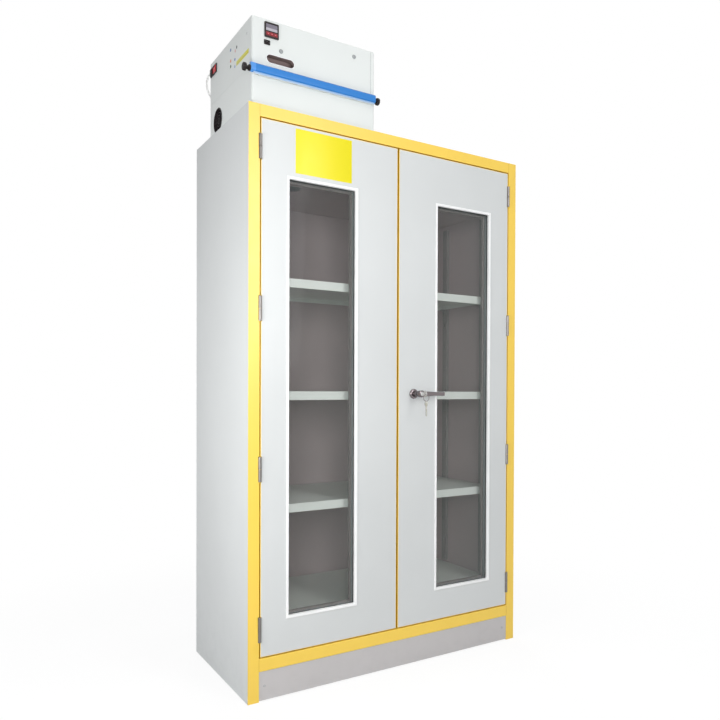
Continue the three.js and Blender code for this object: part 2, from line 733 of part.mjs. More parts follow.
function handleLever() {
  const hub = turned([
    [0, -0.6], [9.6, -0.6], [9.2, -18], [9.6, -32], [11.6, -36], [HUB_HEAD_RADIUS, -39],
    [HUB_HEAD_RADIUS, -(HUB_LENGTH - 2)], [11, -HUB_LENGTH], [0, -HUB_LENGTH],
  ], 'y', 28);
  const rings = [];
  const steps = 9;
  for (let i = 0; i <= steps; i += 1) {
    const t = i / steps;
    const x = 4 + (LEVER_REACH - 4) * t;
    const fade = i === steps ? 0.55 : 1;
    const thick = (8.5 - 3.5 * t) * fade;
    const tall = (10.5 - 3 * t - 1.5 * Math.sin(Math.PI * t)) * fade;
    const middle = -48 + 4 * t * t;
    rings.push(roundedSection(thick, tall, 14, 2.8).map(([u, v]) => [x, middle + u, v]));
  }
  const lockBore = rod(LOCK_RADIUS + 0.35, [-(HUB_LENGTH + 1), -(HUB_LENGTH - 30)], 'y', 24);
  const spindle = block([-4, 4], [-2, GEAR_FRONT + GEAR_THICKNESS], [-4, 4]);
  return piece('handle_lever', join(hub, loft(rings)).subtract(lockBore).add(spindle), paints.chrome);
}

function lockCylinder() {
  const front = HUB_LENGTH + 0.8;
  const body = turned([
    [0, -(HUB_LENGTH - 29.5)], [LOCK_RADIUS, -(HUB_LENGTH - 29.5)], [LOCK_RADIUS, -(front - 1)],
    [LOCK_RADIUS - 1, -front], [0, -front],
  ], 'y', 24);
  const keyway = block([-1.35, 1.35], [-(front + 1), -36], [-4.5, 4.5]);
  return piece('lock_cylinder', body.subtract(keyway), paints.steel);
}

// A key lying in the Y and Z plane: bow at distance bow from the origin along -Y
function keyBody(bowRadius, bowAt, bladeFrom, holeAt) {
  const bow = rod(bowRadius, [-1.2, 1.2], 'x', 24).translate([0, -bowAt, 0]);
  const teeth = [[-bladeFrom, -4]];
  const pitch = 4.2;
  for (let i = 0; i < 5; i += 1) {
    const start = -bladeFrom - 1 - i * pitch;
    teeth.push([start, 2.2 + (i % 2)], [start - 1.8, 2.2 + (i % 2)], [start - 3, 4]);
  }
  teeth.push([-bowAt, 4], [-bowAt, -4]);
  const blade = prismX(outline(teeth), [-1, 1]);
  const hole = rod(3.5, [-3, 3], 'x', 16).translate([0, -holeAt, 0]);
  return join(bow, blade).subtract(hole);
}

const KEY_HOLE_AT = 84;
const WIRE = 1;
const RING_RADIUS = 12;
const RING_HANG = 3.5 - WIRE - SEAT;

function doorKey() {
  return piece('door_key', keyBody(12, 76, 37, KEY_HOLE_AT), paints.steel);
}

function keyRing() {
  const ringBody = solid(new THREE.TorusGeometry(RING_RADIUS, WIRE, 6, 28).rotateX(Math.PI / 2));
  const mesh = piece('key_ring', ringBody, paints.steel);
  mesh.position.set(0, -KEY_HOLE_AT, -RING_HANG - RING_RADIUS);
  return mesh;
}

function spareKey() {
  const bowRadius = 11;
  const hangs = -RING_HANG - 2 * RING_RADIUS - RING_HANG;
  const mesh = piece('spare_key', keyBody(bowRadius, 0, -46, 7), paints.nickel);
  mesh.rotation.x = -Math.PI / 2;
  mesh.position.set(0, -KEY_HOLE_AT, hangs - 7);
  return mesh;
}

function handleGroup() {
  const group = new THREE.Group();
  group.position.set(HANDLE_X, 0, HANDLE_Z);
  group.add(
    handleRose(), handleLever(), pinion(), latchRod('upper_latch_rod', 1), latchRod('lower_latch_rod', -1),
    lockCylinder(), doorKey(), keyRing(), spareKey(),
  );
  return group;
}

// Filter unit, in its own frame

function unitOutline(inset = 0) {
  const radius = UNIT_CORNER - inset;
  return rectangle([inset, UNIT_WIDTH - inset], [inset, UNIT_DEPTH - inset], radius);
}

// Lower housing, open below, with the fan's shroud and motor in its left wall
function unitBody() {
  const wall = UNIT_WALL;
  const top = UNIT_SEAM - SEAT;
  const place = [0, PORT_Y, PORT_Z];
  const shroud = rod(PORT_RADIUS + wall, [1, PORT_DEPTH + wall], 'x', 28).translate(place);
  const bore = rod(PORT_RADIUS, [-1, PORT_DEPTH], 'x', 28).translate(place);
  const motor = turned([
    [0, 36], [2.6, 36], [2.6, 52], [15, 52], [17, 54], [17, PORT_DEPTH + 1], [0, PORT_DEPTH + 1],
  ], 'x').translate(place);
  const ledge = block([4, BAR_ENDS[1] - 4], [-12, 1], [BAR_BOTTOM - 4, BAR_BOTTOM - SEAT]);
  const shell = prismZ(unitOutline(), [0, top]).subtract(prismZ(unitOutline(wall), [-1, top - wall]));
  const body = join(shell, shroud).subtract(bore);
  return piece('unit_body', join(body, motor, ledge), paints.unit);
}

function fanImpeller() {
  const blades = 7;
  let body = turned([[0, 18], [12, 18], [16, 22], [16, 46], [0, 46]], 'x').subtract(rod(3, [34, 47], 'x', 16));
  const blade = (() => {
    const rings = [];
    const steps = 4;
    for (let i = 0; i <= steps; i += 1) {
      const radius = 14 + (27 * i) / steps;
      const pitch = THREE.MathUtils.degToRad(52 - 6 * i);
      const half = 9 + 1.4 * i;
      const ringPoints = [];
      for (const [along, across] of [[-half, -0.7], [half, -0.7], [half, 0.7], [-half, 0.7]]) {
        const x = 32 + along * Math.cos(pitch) - across * Math.sin(pitch);
        const y = along * Math.sin(pitch) + across * Math.cos(pitch);
        ringPoints.push([x, y, radius]);
      }
      rings.push(ringPoints);
    }
    return loft(rings);
  })();
  for (let i = 0; i < blades; i += 1) {
    body = body.add(blade.rotate([(360 * i) / blades, 0, 0]));
  }
  const mesh = piece('fan_impeller', body, paints.black);
  mesh.position.set(0, PORT_Y, PORT_Z);
  return mesh;
}

function outletGrille() {
  const x = [2, 5];
  const rimRadius = PORT_RADIUS - 0.6;
  let body = ring(rimRadius - 4, rimRadius, x, 'x', 28);
  for (const radius of [10, 20, 30]) {
    body = body.add(ring(radius - 1, radius + 1, x, 'x', 20));
  }
  for (const turn of [0, 60, 120]) {
    const bar = block(x, [-rimRadius + 1.5, rimRadius - 1.5], [-1.2, 1.2]);
    body = body.add(bar.rotate([turn, 0, 0]));
  }
  const mesh = piece('outlet_grille', body, paints.black);
  mesh.position.set(0, PORT_Y, PORT_Z);
  return mesh;
}

const CONTROLLER_X = 67;
const CONTROLLER_Z = 249.7;
const SMALL_ROCKER = [51.5, 208.2];
const MAIN_SWITCH = [374, 246.8];
const GRIP = [99.5, 158.7];
const GRIP_WIDTH = 97;
const GRIP_HEIGHT = 27;
const GRIP_DEPTH = 24;
const GLAND = [16, 272];
const GLAND_LENGTH = 18;

// A box in the front wall, centred on x and z
function frontBox(x, z, width, height, y) {
  return block([x - width / 2, x + width / 2], y, [z - height / 2, z + height / 2]);
}

function gripShape(grow) {
  const half = GRIP_WIDTH / 2 + grow;
  const tall = GRIP_HEIGHT / 2 + grow;
  return rectangle([GRIP[0] - half, GRIP[0] + half], [GRIP[1] - tall, GRIP[1] + tall], tall - 0.1);
}

// Upper housing, open below, with the switch frames and the finger recess formed in it
function unitHood() {
  const edge = 1.5;
  const wall = UNIT_WALL;
  const low = UNIT_SEAM + SEAT;
  const options = { bevelEnabled: true, bevelSize: edge, bevelThickness: edge, bevelSegments: 1, bevelOffset: -edge };
  const outer = prismZ(unitOutline(), [low - edge, UNIT_HEIGHT - edge], options);
  const inner = prismZ(unitOutline(wall), [low - 5, UNIT_HEIGHT - wall]);
  const below = block([-1, UNIT_WIDTH + 1], [-1, UNIT_DEPTH + 1], [low - 6, low]);
  const [rockerX, rockerZ] = SMALL_ROCKER;
  const [switchY, switchZ] = MAIN_SWITCH;
  const switchBox = (grow, x) => block(
    x,
    [switchY - 20.2 - grow, switchY + 20.2 + grow],
    [switchZ - 12 - grow, switchZ + 12 + grow],
  );
  const raised = join(
    outer.subtract(inner).subtract(below),
    frontBox(rockerX, rockerZ, 20, 14.6, [-1.4, 1]),
    frontBox(rockerX, rockerZ, 18.6, 13.6, [1, 12]),
    block([-2.5, 1], [switchY - 24, switchY + 44], [switchZ - 15.8, switchZ + 15.8]),
    block([-5, 0], [switchY + 22, switchY + 41], [switchZ - 12, switchZ + 12]),
    switchBox(1.5, [1, 14]),
    prismY(gripShape(wall), [1, GRIP_DEPTH + wall]),
  );
  let body = raised.subtract(frontBox(CONTROLLER_X, CONTROLLER_Z, 45.8, 45.8, [-1, wall + 1]));
  body = body.subtract(frontBox(rockerX, rockerZ, 15.6, 10.4, [-3, 10.5]));
  body = body.subtract(switchBox(0, [-4, 12.5]));
  body = body.subtract(prismY(gripShape(0), [-1, GRIP_DEPTH]));
  const cap = turned([[0, 1], [6.8, 1], [6.8, -1.6], [5.6, -2.8], [0, -3.2]], 'y', 16);
  for (const [x, z] of [[100.5, 191.7], [375, 246.7]]) {
    body = body.add(cap.translate([x, 0, z]));
  }
  return piece('unit_hood', body, paints.unit);
}

function controller() {
  const half = 24.5;
  const face = rectangle([-half, half], [-half, half], 2);
  let body = join(prismY(face, [-4, -SEAT]), block([-22.6, 22.6], [-2, 58], [-22.6, 22.6]));
  body = body.subtract(block([-20, 20], [-5, -3], [-3, 19]));
  for (let i = 0; i < 3; i += 1) {
    const x = buttonPlace(i);
    body = body.subtract(block([x - 4.6, x + 4.6], [-5, -0.4], [-16.6, -9.4]));
  }
  const mesh = piece('controller', body, paints.black);
  mesh.position.set(CONTROLLER_X, 0, CONTROLLER_Z);
  return mesh;
}

function buttonPlace(index) {
  return (index - 1) * 12.5;
}

function controllerButton(index) {
  const cap = rectangle([-4.2, 4.2], [-3.2, 3.2], 1);
  const mesh = piece(`controller_button_${index + 1}`, prismY(cap, [-5.4, -2]), paints.red);
  mesh.position.set(CONTROLLER_X + buttonPlace(index), 0, CONTROLLER_Z - 13);
  return mesh;
}

const ROCKER_TILT = THREE.MathUtils.degToRad(6);

// Section of a rocker about its pivot: half its length, and how far its ends stand proud
function rockerPoints(half, proud) {
  const back = half * 0.4;
  return [[-half, -proud], [0, -0.6], [half, -proud], [half, 1.5], [back, 6], [-back, 6], [-half, 1.5]];
}

function smallRocker() {
  const mesh = piece('small_rocker', prismZ(outline(rockerPoints(7, 2.1)), [-4.6, 4.6]), paints.black);
  mesh.position.set(SMALL_ROCKER[0], 1, SMALL_ROCKER[1]);
  mesh.rotation.z = -ROCKER_TILT;
  return mesh;
}

function mainRocker() {
  const profile = outline(rockerPoints(19.2, 3.4).map(([along, depth]) => [depth, along]));
  const mesh = piece('main_rocker', prismZ(profile, [-11.5, 11.5]), paints.red);
  mesh.position.set(-0.5, MAIN_SWITCH[0], MAIN_SWITCH[1]);
  mesh.rotation.z = -ROCKER_TILT;
  return mesh;
}

const BAR_MIDDLE_Y = -BAR_DEPTH / 2 - SEAT;
const BAR_ROD_Z = BAR_BOTTOM + BAR_ROD_HEIGHT;

function clampBar() {
  const shape = new THREE.Shape();
  const back = -SEAT;
  const front = -SEAT - BAR_DEPTH;
  const top = BAR_BOTTOM + BAR_HEIGHT;
  const r = 7;
  shape.moveTo(back, BAR_BOTTOM);
  shape.lineTo(back, top);
  shape.absarc(front + r, top - r, r, Math.PI / 2, Math.PI, false);
  shape.absarc(front + r, BAR_BOTTOM + r, r, Math.PI, Math.PI * 1.5, false);
  let body = prismX(shape, BAR_ENDS);
  for (const [at, way] of [[BAR_ENDS[0], 1], [BAR_ENDS[1], -1]]) {
    const depth = [at - way, at + way * 16].sort((a, b) => a - b);
    body = body.subtract(rod(3.5, depth, 'x', 16).translate([0, BAR_MIDDLE_Y, BAR_ROD_Z]));
  }
  return piece('clamp_bar', body, paints.blue);
}

function clampKnob(side) {
  const rim = 13;
  const start = KNOB_STARTS[sideName(side)];
  const end = start + KNOB_LENGTH;
  const collar = side > 0 ? [[6, 0.3]] : [[10, 0.3], [10, 6.3], [6, 6.8]];
  let body = turned([
    [0, -14], [3, -14], [3, 0.3], ...collar, [6, start - 0.5], [rim - 1.5, start], [rim, start + 1.5],
    [rim, end - 1.5], [rim - 1.5, end], [0, end],
  ], 'x');
  const lobes = 8;
  for (let i = 0; i < lobes; i += 1) {
    const groove = rod(2.6, [start - 1, end + 1], 'x', 10).translate([0, 0, rim + 1.2]);
    body = body.subtract(groove.rotate([(360 * i) / lobes, 0, 0]));
  }
  const mesh = piece(`${sideName(side)}_clamp_knob`, side > 0 ? body : body.rotate([0, 180, 0]), paints.black);
  mesh.position.set(side > 0 ? BAR_ENDS[1] : BAR_ENDS[0], BAR_MIDDLE_Y, BAR_ROD_Z);
  return mesh;
}

function cordGland() {
  const nut = turned([[0, 0.3], [8, 0.3], [8, 8], [6.6, 9.5], [5.6, 10], [4.6, GLAND_LENGTH], [0, GLAND_LENGTH]], 'y', 12);
  const mesh = piece('cord_gland', nut, paints.unit);
  mesh.position.set(GLAND[0], UNIT_DEPTH, GLAND[1]);
  return mesh;
}

function filterUnit() {
  const group = new THREE.Group();
  group.position.set(UNIT_LEFT, UNIT_FRONT, HEIGHT + SEAT);
  group.add(unitBody(), unitHood(), fanImpeller(), outletGrille(), controller(), smallRocker(), mainRocker());
  group.add(clampBar(), clampKnob(-1), clampKnob(1), cordGland());
  for (let i = 0; i < 3; i += 1) {
    group.add(controllerButton(i));
  }
  return group;
}

// Mains lead: a free stretch, a piled coil behind the unit, and the plug beside it

const LAY_Z = HEIGHT + SEAT + CORD / 2;

function leadPoints() {
  const left = -HALF;
  const exitY = UNIT_FRONT + UNIT_DEPTH + GLAND_LENGTH;
  const exitZ = HEIGHT + SEAT + GLAND[1];
  return [
    [left + 30, exitY + 0.8, exitZ], [left + 29.4, exitY + 8, exitZ - 0.5], [left + 26.9, exitY + 16.9, exitZ - 3],
    [left + 23.4, exitY + 25.3, exitZ - 8.8], [left + 20.8, exitY + 32.2, exitZ - 17.6],
    [left + 19.6, exitY + 37, exitZ - 28.8], [left + 19.8, exitY + 38.6, exitZ - 41.4],
    [left + 21.2, exitY + 36.9, exitZ - 54], [left + 23.6, exitY + 33.2, exitZ - 66],
    [left + 27.2, exitY + 28.6, exitZ - 78], [left + 33, exitY + 23.8, exitZ - 93.5],
    [left + 40, exitY + 20.8, exitZ - 115.3], [left + 48, exitY + 21, exitZ - 152.3],
    [left + 55, exitY + 25, exitZ - 192.3], [left + 62, exitY + 30.5, LAY_Z + 41], [left + 75, exitY + 37, LAY_Z + 15.5],
    [left + 96, exitY + 44.3, LAY_Z + 3], [left + 122, exitY + 55.3, LAY_Z], [left + 152, COIL_Y + 28, LAY_Z],
    [left + 182, COIL_Y + 40.5, LAY_Z], [left + 208, COIL_Y + 48, LAY_Z], [COIL_X - 16, COIL_Y + COIL_OUTER, LAY_Z],
    [COIL_X - 7.3, COIL_Y + COIL_OUTER, LAY_Z],
  ].map((point) => new THREE.Vector3(...point));
}

function mainsLead() {
  const path = new THREE.CatmullRomCurve3(leadPoints(), false, 'centripetal');
  const section = new THREE.Shape();
  section.absarc(0, 0, CORD / 2, 0, 2 * Math.PI);
  const tube = new THREE.ExtrudeGeometry(section, { extrudePath: path, steps: 60, curveSegments: 4 });
  console.log('mains lead, free stretch:', path.getLength().toFixed(1), 'mm');
  return piece('mains_lead', solid(tube), paints.cord);
}

// Centre line of the coil after t turns, clockwise from its furthest back point
function coilPoint(t) {
  const inward = Math.min(t, 2 * COIL_TURN_BACK - t);
  const radius = COIL_OUTER - COIL_PITCH * inward;
  const climb = THREE.MathUtils.smoothstep(t, COIL_TURN_BACK - 0.25, COIL_TURN_BACK + 0.25);
  const angle = Math.PI / 2 - 2 * Math.PI * t;
  const x = COIL_X + radius * Math.cos(angle);
  const y = COIL_Y + radius * Math.sin(angle);
  return new THREE.Vector3(x, y, LAY_Z + COIL_RISE * climb);
}

function coilPoints() {
  const perTurn = 24;
  const count = Math.round(COIL_TURNS * perTurn);
  const points = [];
  for (let i = 0; i <= count; i += 1) {
    points.push(coilPoint((COIL_TURNS * i) / count));
  }
  const start = points[0].clone().add(new THREE.Vector3(-CORD, 0, 0));
  const end = points[count].clone().addScaledVector(coilExit(), CORD);
  return [start, ...points, end];
}

function coilExit() {
  const angle = Math.PI / 2 - 2 * Math.PI * COIL_TURNS;
  return new THREE.Vector3(Math.sin(angle), -Math.cos(angle), 0);
}

function sweptTube(points, radius, sides) {
  const rings = points.map((point, i) => {
    const ahead = points[Math.min(i + 1, points.length - 1)];
    const behind = points[Math.max(i - 1, 0)];
    const along = ahead.clone().sub(behind).setZ(0).normalize();
    const across = new THREE.Vector3(along.y, -along.x, 0);
    const up = new THREE.Vector3(0, 0, 1);
    return Array.from({ length: sides }, (_, k) => {
      const angle = (2 * Math.PI * k) / sides;
      const at = point.clone().addScaledVector(across, radius * Math.cos(angle));
      return at.addScaledVector(up, radius * Math.sin(angle)).toArray();
    });
  });
  return loft(rings);
}

function leastGap(points) {
  let least = Infinity;
  let length = 0;
  const travelled = points.map((point, i) => {
    length += i > 0 ? point.distanceTo(points[i - 1]) : 0;
    return length;
  });
  for (let i = 0; i < points.length; i += 1) {
    for (let j = i + 1; j < points.length; j += 1) {
      if (travelled[j] - travelled[i] > 6 * CORD) {
        least = Math.min(least, points[i].distanceTo(points[j]) - CORD);
      }
    }
  }
  return { least, length };
}

function mainsCoil() {
  const points = coilPoints();
  const { least, length } = leastGap(points);
  console.log('mains coil:', length.toFixed(1), 'mm, least gap to itself', least.toFixed(2), 'mm');
  return piece('mains_coil', sweptTube(points, CORD / 2, 6), paints.cord);
}

// Flat two-pin plug with a tapering tail, lying beside the coil
function mainsPlug() {
  const stations = [
    [0, 4.2, 3.7], [31, 5.2, 3.9], [36, 8, 7], [44, 17, 10.4], [PLUG_LENGTH - 3, 18, 11], [PLUG_LENGTH, 16.5, 9.8],
  ];
  const rings = stations.map(([s, a, b]) => roundedSection(a, b, 16, s < 32 ? 2 : 3).map(([u, v]) => [s, u, v]));
  let body = loft(rings);
  for (const offset of [-9.5, 9.5]) {
    const pin = turned([
      [0, PLUG_LENGTH - 1], [2.4, PLUG_LENGTH - 1], [2.4, PLUG_LENGTH + PIN_LENGTH - 1.5],
      [1.2, PLUG_LENGTH + PIN_LENGTH], [0, PLUG_LENGTH + PIN_LENGTH],
    ], 'x', 10);
    body = body.add(pin.translate([0, offset, 0]));
  }
  const mesh = piece('mains_plug', body, paints.cord);
  const way = coilExit();
  const points = coilPoints();
  mesh.position.copy(points[points.length - 1]).addScaledVector(way, SEAT);
  mesh.rotation.z = Math.atan2(way.y, way.x);
  return mesh;
}

// The whole cabinet

const cabinet = new THREE.Group();
const sides = [-1, 1];

for (const side of sides) {
  cabinet.add(post(side), sidePanel(side), innerWall(side));
  UPRIGHT_PLACES.forEach((place, index) => cabinet.add(upright(side, place, index)));
}
cabinet.add(topRail(), bottomRail(), plinthPanel(), backPanel(), topPanel(), basePan());
cabinet.add(floorBoard(), rearInnerWall(), ceilingBoard(), exhaustDuct(), frameSeal());
SHELF_TOPS.forEach((top, index) => cabinet.add(shelf(top, index)));
cabinet.add(spillTray(), trayCover());

for (const side of sides) {
  const door = new THREE.Group();
  door.add(doorLeaf(side), doorSkin(side), windowTrim(side), windowGlass(side));
  if (side > 0) {
    door.add(handleGroup());
  }
  cabinet.add(door);
}

cabinet.add(filterUnit(), mainsLead(), mainsCoil(), mainsPlug());

// The origin lies on the floor under the middle of the outline
cabinet.position.set(-(LEFTMOST + HALF) / 2, -(FRONTMOST + DEPTH) / 2, 0);

const part = new THREE.Group();
part.add(cabinet);

export default part;
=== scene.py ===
"""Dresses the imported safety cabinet: finishes, fine pieces, cord, camera and stage."""

import math

import bmesh
import bpy
from mathutils import Matrix, Vector


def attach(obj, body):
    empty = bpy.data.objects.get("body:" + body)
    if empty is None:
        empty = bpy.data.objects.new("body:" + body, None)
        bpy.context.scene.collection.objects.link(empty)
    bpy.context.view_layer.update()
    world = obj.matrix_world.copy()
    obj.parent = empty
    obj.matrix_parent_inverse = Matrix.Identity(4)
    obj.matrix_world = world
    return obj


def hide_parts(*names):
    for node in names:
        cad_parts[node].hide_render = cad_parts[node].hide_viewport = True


bl_info = {
    "name": "Glass Door Safety Cabinet",
    "version": (1, 0, 0),
    "blender": (4, 5, 0),
    "location": "View3D > Sidebar > Cabinet",
    "description": "Builds the looks of a two-door safety cabinet round its packed frame",
    "category": "Object",
}

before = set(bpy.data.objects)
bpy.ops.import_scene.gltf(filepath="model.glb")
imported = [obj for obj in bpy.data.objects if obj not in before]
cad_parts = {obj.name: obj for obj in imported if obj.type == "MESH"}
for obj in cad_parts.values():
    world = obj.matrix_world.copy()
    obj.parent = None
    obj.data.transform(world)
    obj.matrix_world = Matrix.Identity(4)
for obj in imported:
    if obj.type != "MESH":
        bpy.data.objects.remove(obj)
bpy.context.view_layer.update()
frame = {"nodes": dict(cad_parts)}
NODES = frame["nodes"]

# Origins in metres: the cabinet's is at its middle, its door faces and the floor

CABINET = Vector((0.00965, -0.2325, 0.0))
UNIT = CABINET + Vector((-0.556, 0.011, 1.9503))
HANDLE = CABINET + Vector((0.070, 0.0, 1.010))

# Sizes in millimetres

MM = 0.001
HALF_WIDTH = 570
DEPTH = 560
DOORS = ((-1, "left"), (1, "right"))
DOOR_X, DOOR_Z = 265.75, 1026.5
DOOR_HALF_WIDTH, DOOR_HALF_HEIGHT = 262.25, 879.5
HINGE_X = 530
HINGE_HEIGHTS = (238, 763, 1288, 1813)
WINDOW_X, WINDOW_Z = 303, 996.5
LABEL_X, LABEL_Z = -300.5, 1821.5
BAR_Z, BAR_HEIGHT = 100, 28
# Foot and height of the film under the bar that carries its painted reflection
REFLECTION_FOOT, REFLECTION_HEIGHT = 92, 7.6
CONTROLLER_X, CONTROLLER_Z = 67, 249.7
KEY_OFFSETS = (-12.5, 0, 12.5)
SMALL_SWITCH = (51.5, 0, 208.2)
MAIN_SWITCH_Y, MAIN_SWITCH_Z = 374, 246.8
DISPLAY_FOOT = 249
GRIP_X, GRIP_Z, GRIP_FOOT = 99.5, 158.7, 145
# Thickness and edge rounding of films, tapes and thin sheets
FILM = (0.5, 0.15)
# Place, colour and radius of each round marker on the unit's left side
MARKERS = (
    (202, 249.7, "2f5f9a", 5.5), (201, 211.7, "e0843c", 5.5), (201, 192.7, "2e5a34", 5.5),
    (141, 235.7, "3a3f44", 5), (156, 228.7, "d8a7a4", 5), (159, 200.7, "4a6fb5", 5),
    (159, 176.7, "8fa3cf", 5),
)


def at(x, y, z, origin=CABINET):
    """A point given in millimetres from an origin."""
    return origin + Vector((x, y, z)) * MM


def on_unit(x, y, z):
    return at(x, y, z, UNIT)


def on_handle(x, y, z):
    return at(x, y, z, HANDLE)


def both(name):
    return [f"{side}_{name}" for _, side in DOORS]


def turns(count):
    """Equal steps round a circle, in radians."""
    return [2 * math.pi * i / count for i in range(count)]


# Shader graphs


def linear(code):
    """A hex colour as it is seen, turned into the linear values that shaders take."""
    values = [int(code[i : i + 2], 16) / 255 for i in (0, 2, 4)]
    return tuple(v / 12.92 if v < 0.04045 else ((v + 0.055) / 1.055) ** 2.4 for v in values)


def rgba(colour):
    return (*colour[:3], 1.0)


def shade(colour, factor):
    return tuple(min(1.0, c * factor) for c in colour[:3])


class Socket:
    """A shader value: Python arithmetic on it adds Math nodes."""

    def __init__(self, graph, socket):
        self.graph = graph
        self.socket = socket

    def math(self, operation, *others, clamp=False):
        return self.graph.math(operation, self, *others, clamp=clamp)

    def __add__(self, other):
        return self.math("ADD", other)

    __radd__ = __add__

    def __mul__(self, other):
        return self.math("MULTIPLY", other)

    __rmul__ = __mul__

    def __sub__(self, other):
        return self.math("SUBTRACT", other)

    def __rsub__(self, other):
        return self.graph.math("SUBTRACT", other, self)

    def __abs__(self):
        return self.math("ABSOLUTE")

    def clamp(self):
        return self.math("ADD", 0.0, clamp=True)

    def step(self, low, high):
        """0 below low, 1 above high and smooth between."""
        return self.graph.add(
            "ShaderNodeMapRange",
            {"interpolation_type": "SMOOTHSTEP"},
            {"Value": self, "From Min": low, "From Max": high},
        )


class Graph:
    """A material with a Principled shader, built up node by node."""

    def __init__(self, name, colour, roughness, metallic=0.0, shine=0.5):
        self.material = bpy.data.materials.new(name)
        self.material.use_nodes = True
        self.material.diffuse_color = rgba(colour)
        self.tree = self.material.node_tree
        self.shader = self.tree.nodes["Principled BSDF"]
        self.set("Base Color", rgba(colour))
        self.set("Roughness", roughness)
        self.set("Metallic", metallic)
        self.set("Specular IOR Level", shine)

    def set(self, socket, value):
        self.put(self.shader.inputs[socket], value)

    def put(self, target, value):
        if isinstance(value, Socket):
            self.tree.links.new(value.socket, target)
        else:
            target.default_value = value

    def add(self, kind, settings=None, inputs=None, output=0):
        node = self.tree.nodes.new(kind)
        for key, value in (settings or {}).items():
            setattr(node, key, value)
        for key, value in (inputs or {}).items():
            self.put(node.inputs[key], value)
        return Socket(self, node.outputs[output])

    def math(self, operation, *values, clamp=False):
        settings = {"operation": operation, "use_clamp": clamp}
        return self.add("ShaderNodeMath", settings, dict(enumerate(values)))

    def place(self, kind="Object"):
        """The point's place in the cabinet's own frame, or its normal there."""
        return self.add("ShaderNodeTexCoord", output=kind)

    def axis(self, name, kind="Object"):
        return self.add("ShaderNodeSeparateXYZ", {}, {0: self.place(kind)}, output=name)

    def stretched(self, scale):
        return self.add("ShaderNodeMapping", {}, {"Vector": self.place(), "Scale": scale})

    def noise(self, scale, detail=2.0, rough=0.5, where=None, distortion=0.0):
        return self.add("ShaderNodeTexNoise", {}, {
            "Vector": where or self.place(), "Scale": scale, "Detail": detail,
            "Roughness": rough, "Distortion": distortion,
        })

    def cells(self, scale):
        return self.add("ShaderNodeTexVoronoi", {}, {"Vector": self.place(), "Scale": scale})

    def mix(self, factor, first, second):
        first, second = (rgba(c) if isinstance(c, tuple) else c for c in (first, second))
        inputs = {0: factor, 6: first, 7: second}
        return self.add("ShaderNodeMix", {"data_type": "RGBA"}, inputs, output=2)

    def finished(self, base, roughness, height=None, strength=0.1, distance=0.0002):
        """Sets what changes over the surface, and gives the material."""
        self.set("Base Color", base)
        self.set("Roughness", roughness)
        if height:
            inputs = {"Height": height, "Strength": strength, "Distance": distance}
            self.set("Normal", self.add("ShaderNodeBump", {}, inputs))
        return self.material


# Finishes


def paint_tone(g, colour, tone):
    """Slow drift of a paint's tone, with fine darker specks."""
    drift = g.noise(2.3, 3.0).step(0.3, 0.7)
    speck = g.noise(420.0, 1.0).step(0.62, 0.75)
    base = g.mix(drift, shade(colour, 1 - tone), shade(colour, 1 + tone * 0.4))
    return g.mix(speck * 0.25, base, shade(colour, 0.94))


def orange_peel(g, grain):
    return g.noise(grain, 2.0, 0.45) + g.noise(60.0, 2.0) * 0.5


def powder_coat(name, colour, roughness=0.42, tone=0.03, shine=0.45, grain=900.0):
    """Baked paint on sheet metal: orange peel, slow tone drift and dust near the floor."""
    g = Graph(name, colour, roughness, shine=shine)
    low = g.axis("Z").step(0.0, 0.35)
    dust = (1 - low) * g.noise(26.0, 4.0).step(0.42, 0.75)
    base = g.mix(dust * 0.10, paint_tone(g, colour, tone), shade(colour, 0.72))
    rough = roughness - 0.05 + g.noise(31.0, 3.0) * 0.10 + dust * 0.10
    return g.finished(base, rough, orange_peel(g, grain), 0.16, 0.0003)


def door_rim(g, near, far):
    """1 nearer than near to the outline of either closed door, 0 beyond far."""
    outline = (
        ("X", CABINET.x, DOOR_X * MM, DOOR_HALF_WIDTH * MM),
        ("Z", DOOR_Z * MM, 0.0, DOOR_HALF_HEIGHT * MM),
    )
    gaps = [
        abs(abs(abs(g.axis(axis) - centre) - middle) - half)
        for axis, centre, middle, half in outline
    ]
    return 1 - gaps[0].math("MINIMUM", gaps[1]).step(near, far)


def edged_coat(name, colour, edge):
    """Baked paint on a door's face, with the edge tape's yellow on its folded rim."""
    g = Graph(name, colour, 0.42, shine=0.9)
    side = 1 - abs(g.axis("Y", "Normal")).step(0.35, 0.85)
    rim = side.math("MAXIMUM", door_rim(g, 0.0016, 0.0032))
    base = g.mix(rim, paint_tone(g, colour, 0.03), edge)
    return g.finished(base, 0.37 + g.noise(31.0, 3.0) * 0.10, orange_peel(g, 900.0), 0.16, 0.0003)


def leaf_edge(name, colour, reveal):
    """Yellow tape round the leaf's outer edge; its core, seen at window and lock, is grey."""
    g = Graph(name, colour, 0.4, shine=0.4)
    base = g.mix(g.noise(6.0, 3.0).step(0.3, 0.7), shade(colour, 0.96), shade(colour, 1.02))
    base = g.mix(door_rim(g, 0.004, 0.005), reveal, base)
    return g.finished(base, 0.36 + g.noise(30.0, 3.0) * 0.12, g.noise(800.0, 2.0))


def bar_paint(name, colour):
    """Paint of the clamp bar: fine grain, and a darker band of painted shade along the top edge."""
    g = Graph(name, colour, 0.32, shine=0.3)
    # Painted shade: the bar darkens above this height, standing in for shade on its upper rounding
    shaded_top_from = (BAR_Z + BAR_HEIGHT - 5.5) * MM
    top = (g.axis("Z") - UNIT.z - shaded_top_from).step(0.0, 0.003)
    worn = g.noise(40.0, 4.0).step(0.5, 0.8)
    base = g.mix(top, g.mix(worn * 0.3, colour, shade(colour, 1.1)), shade(colour, 0.66))
    rough = 0.28 + g.noise(31.0, 3.0) * 0.10 + worn * 0.06
    return g.finished(base, rough, g.noise(1500.0, 2.0, 0.45), 0.08, 0.0003)


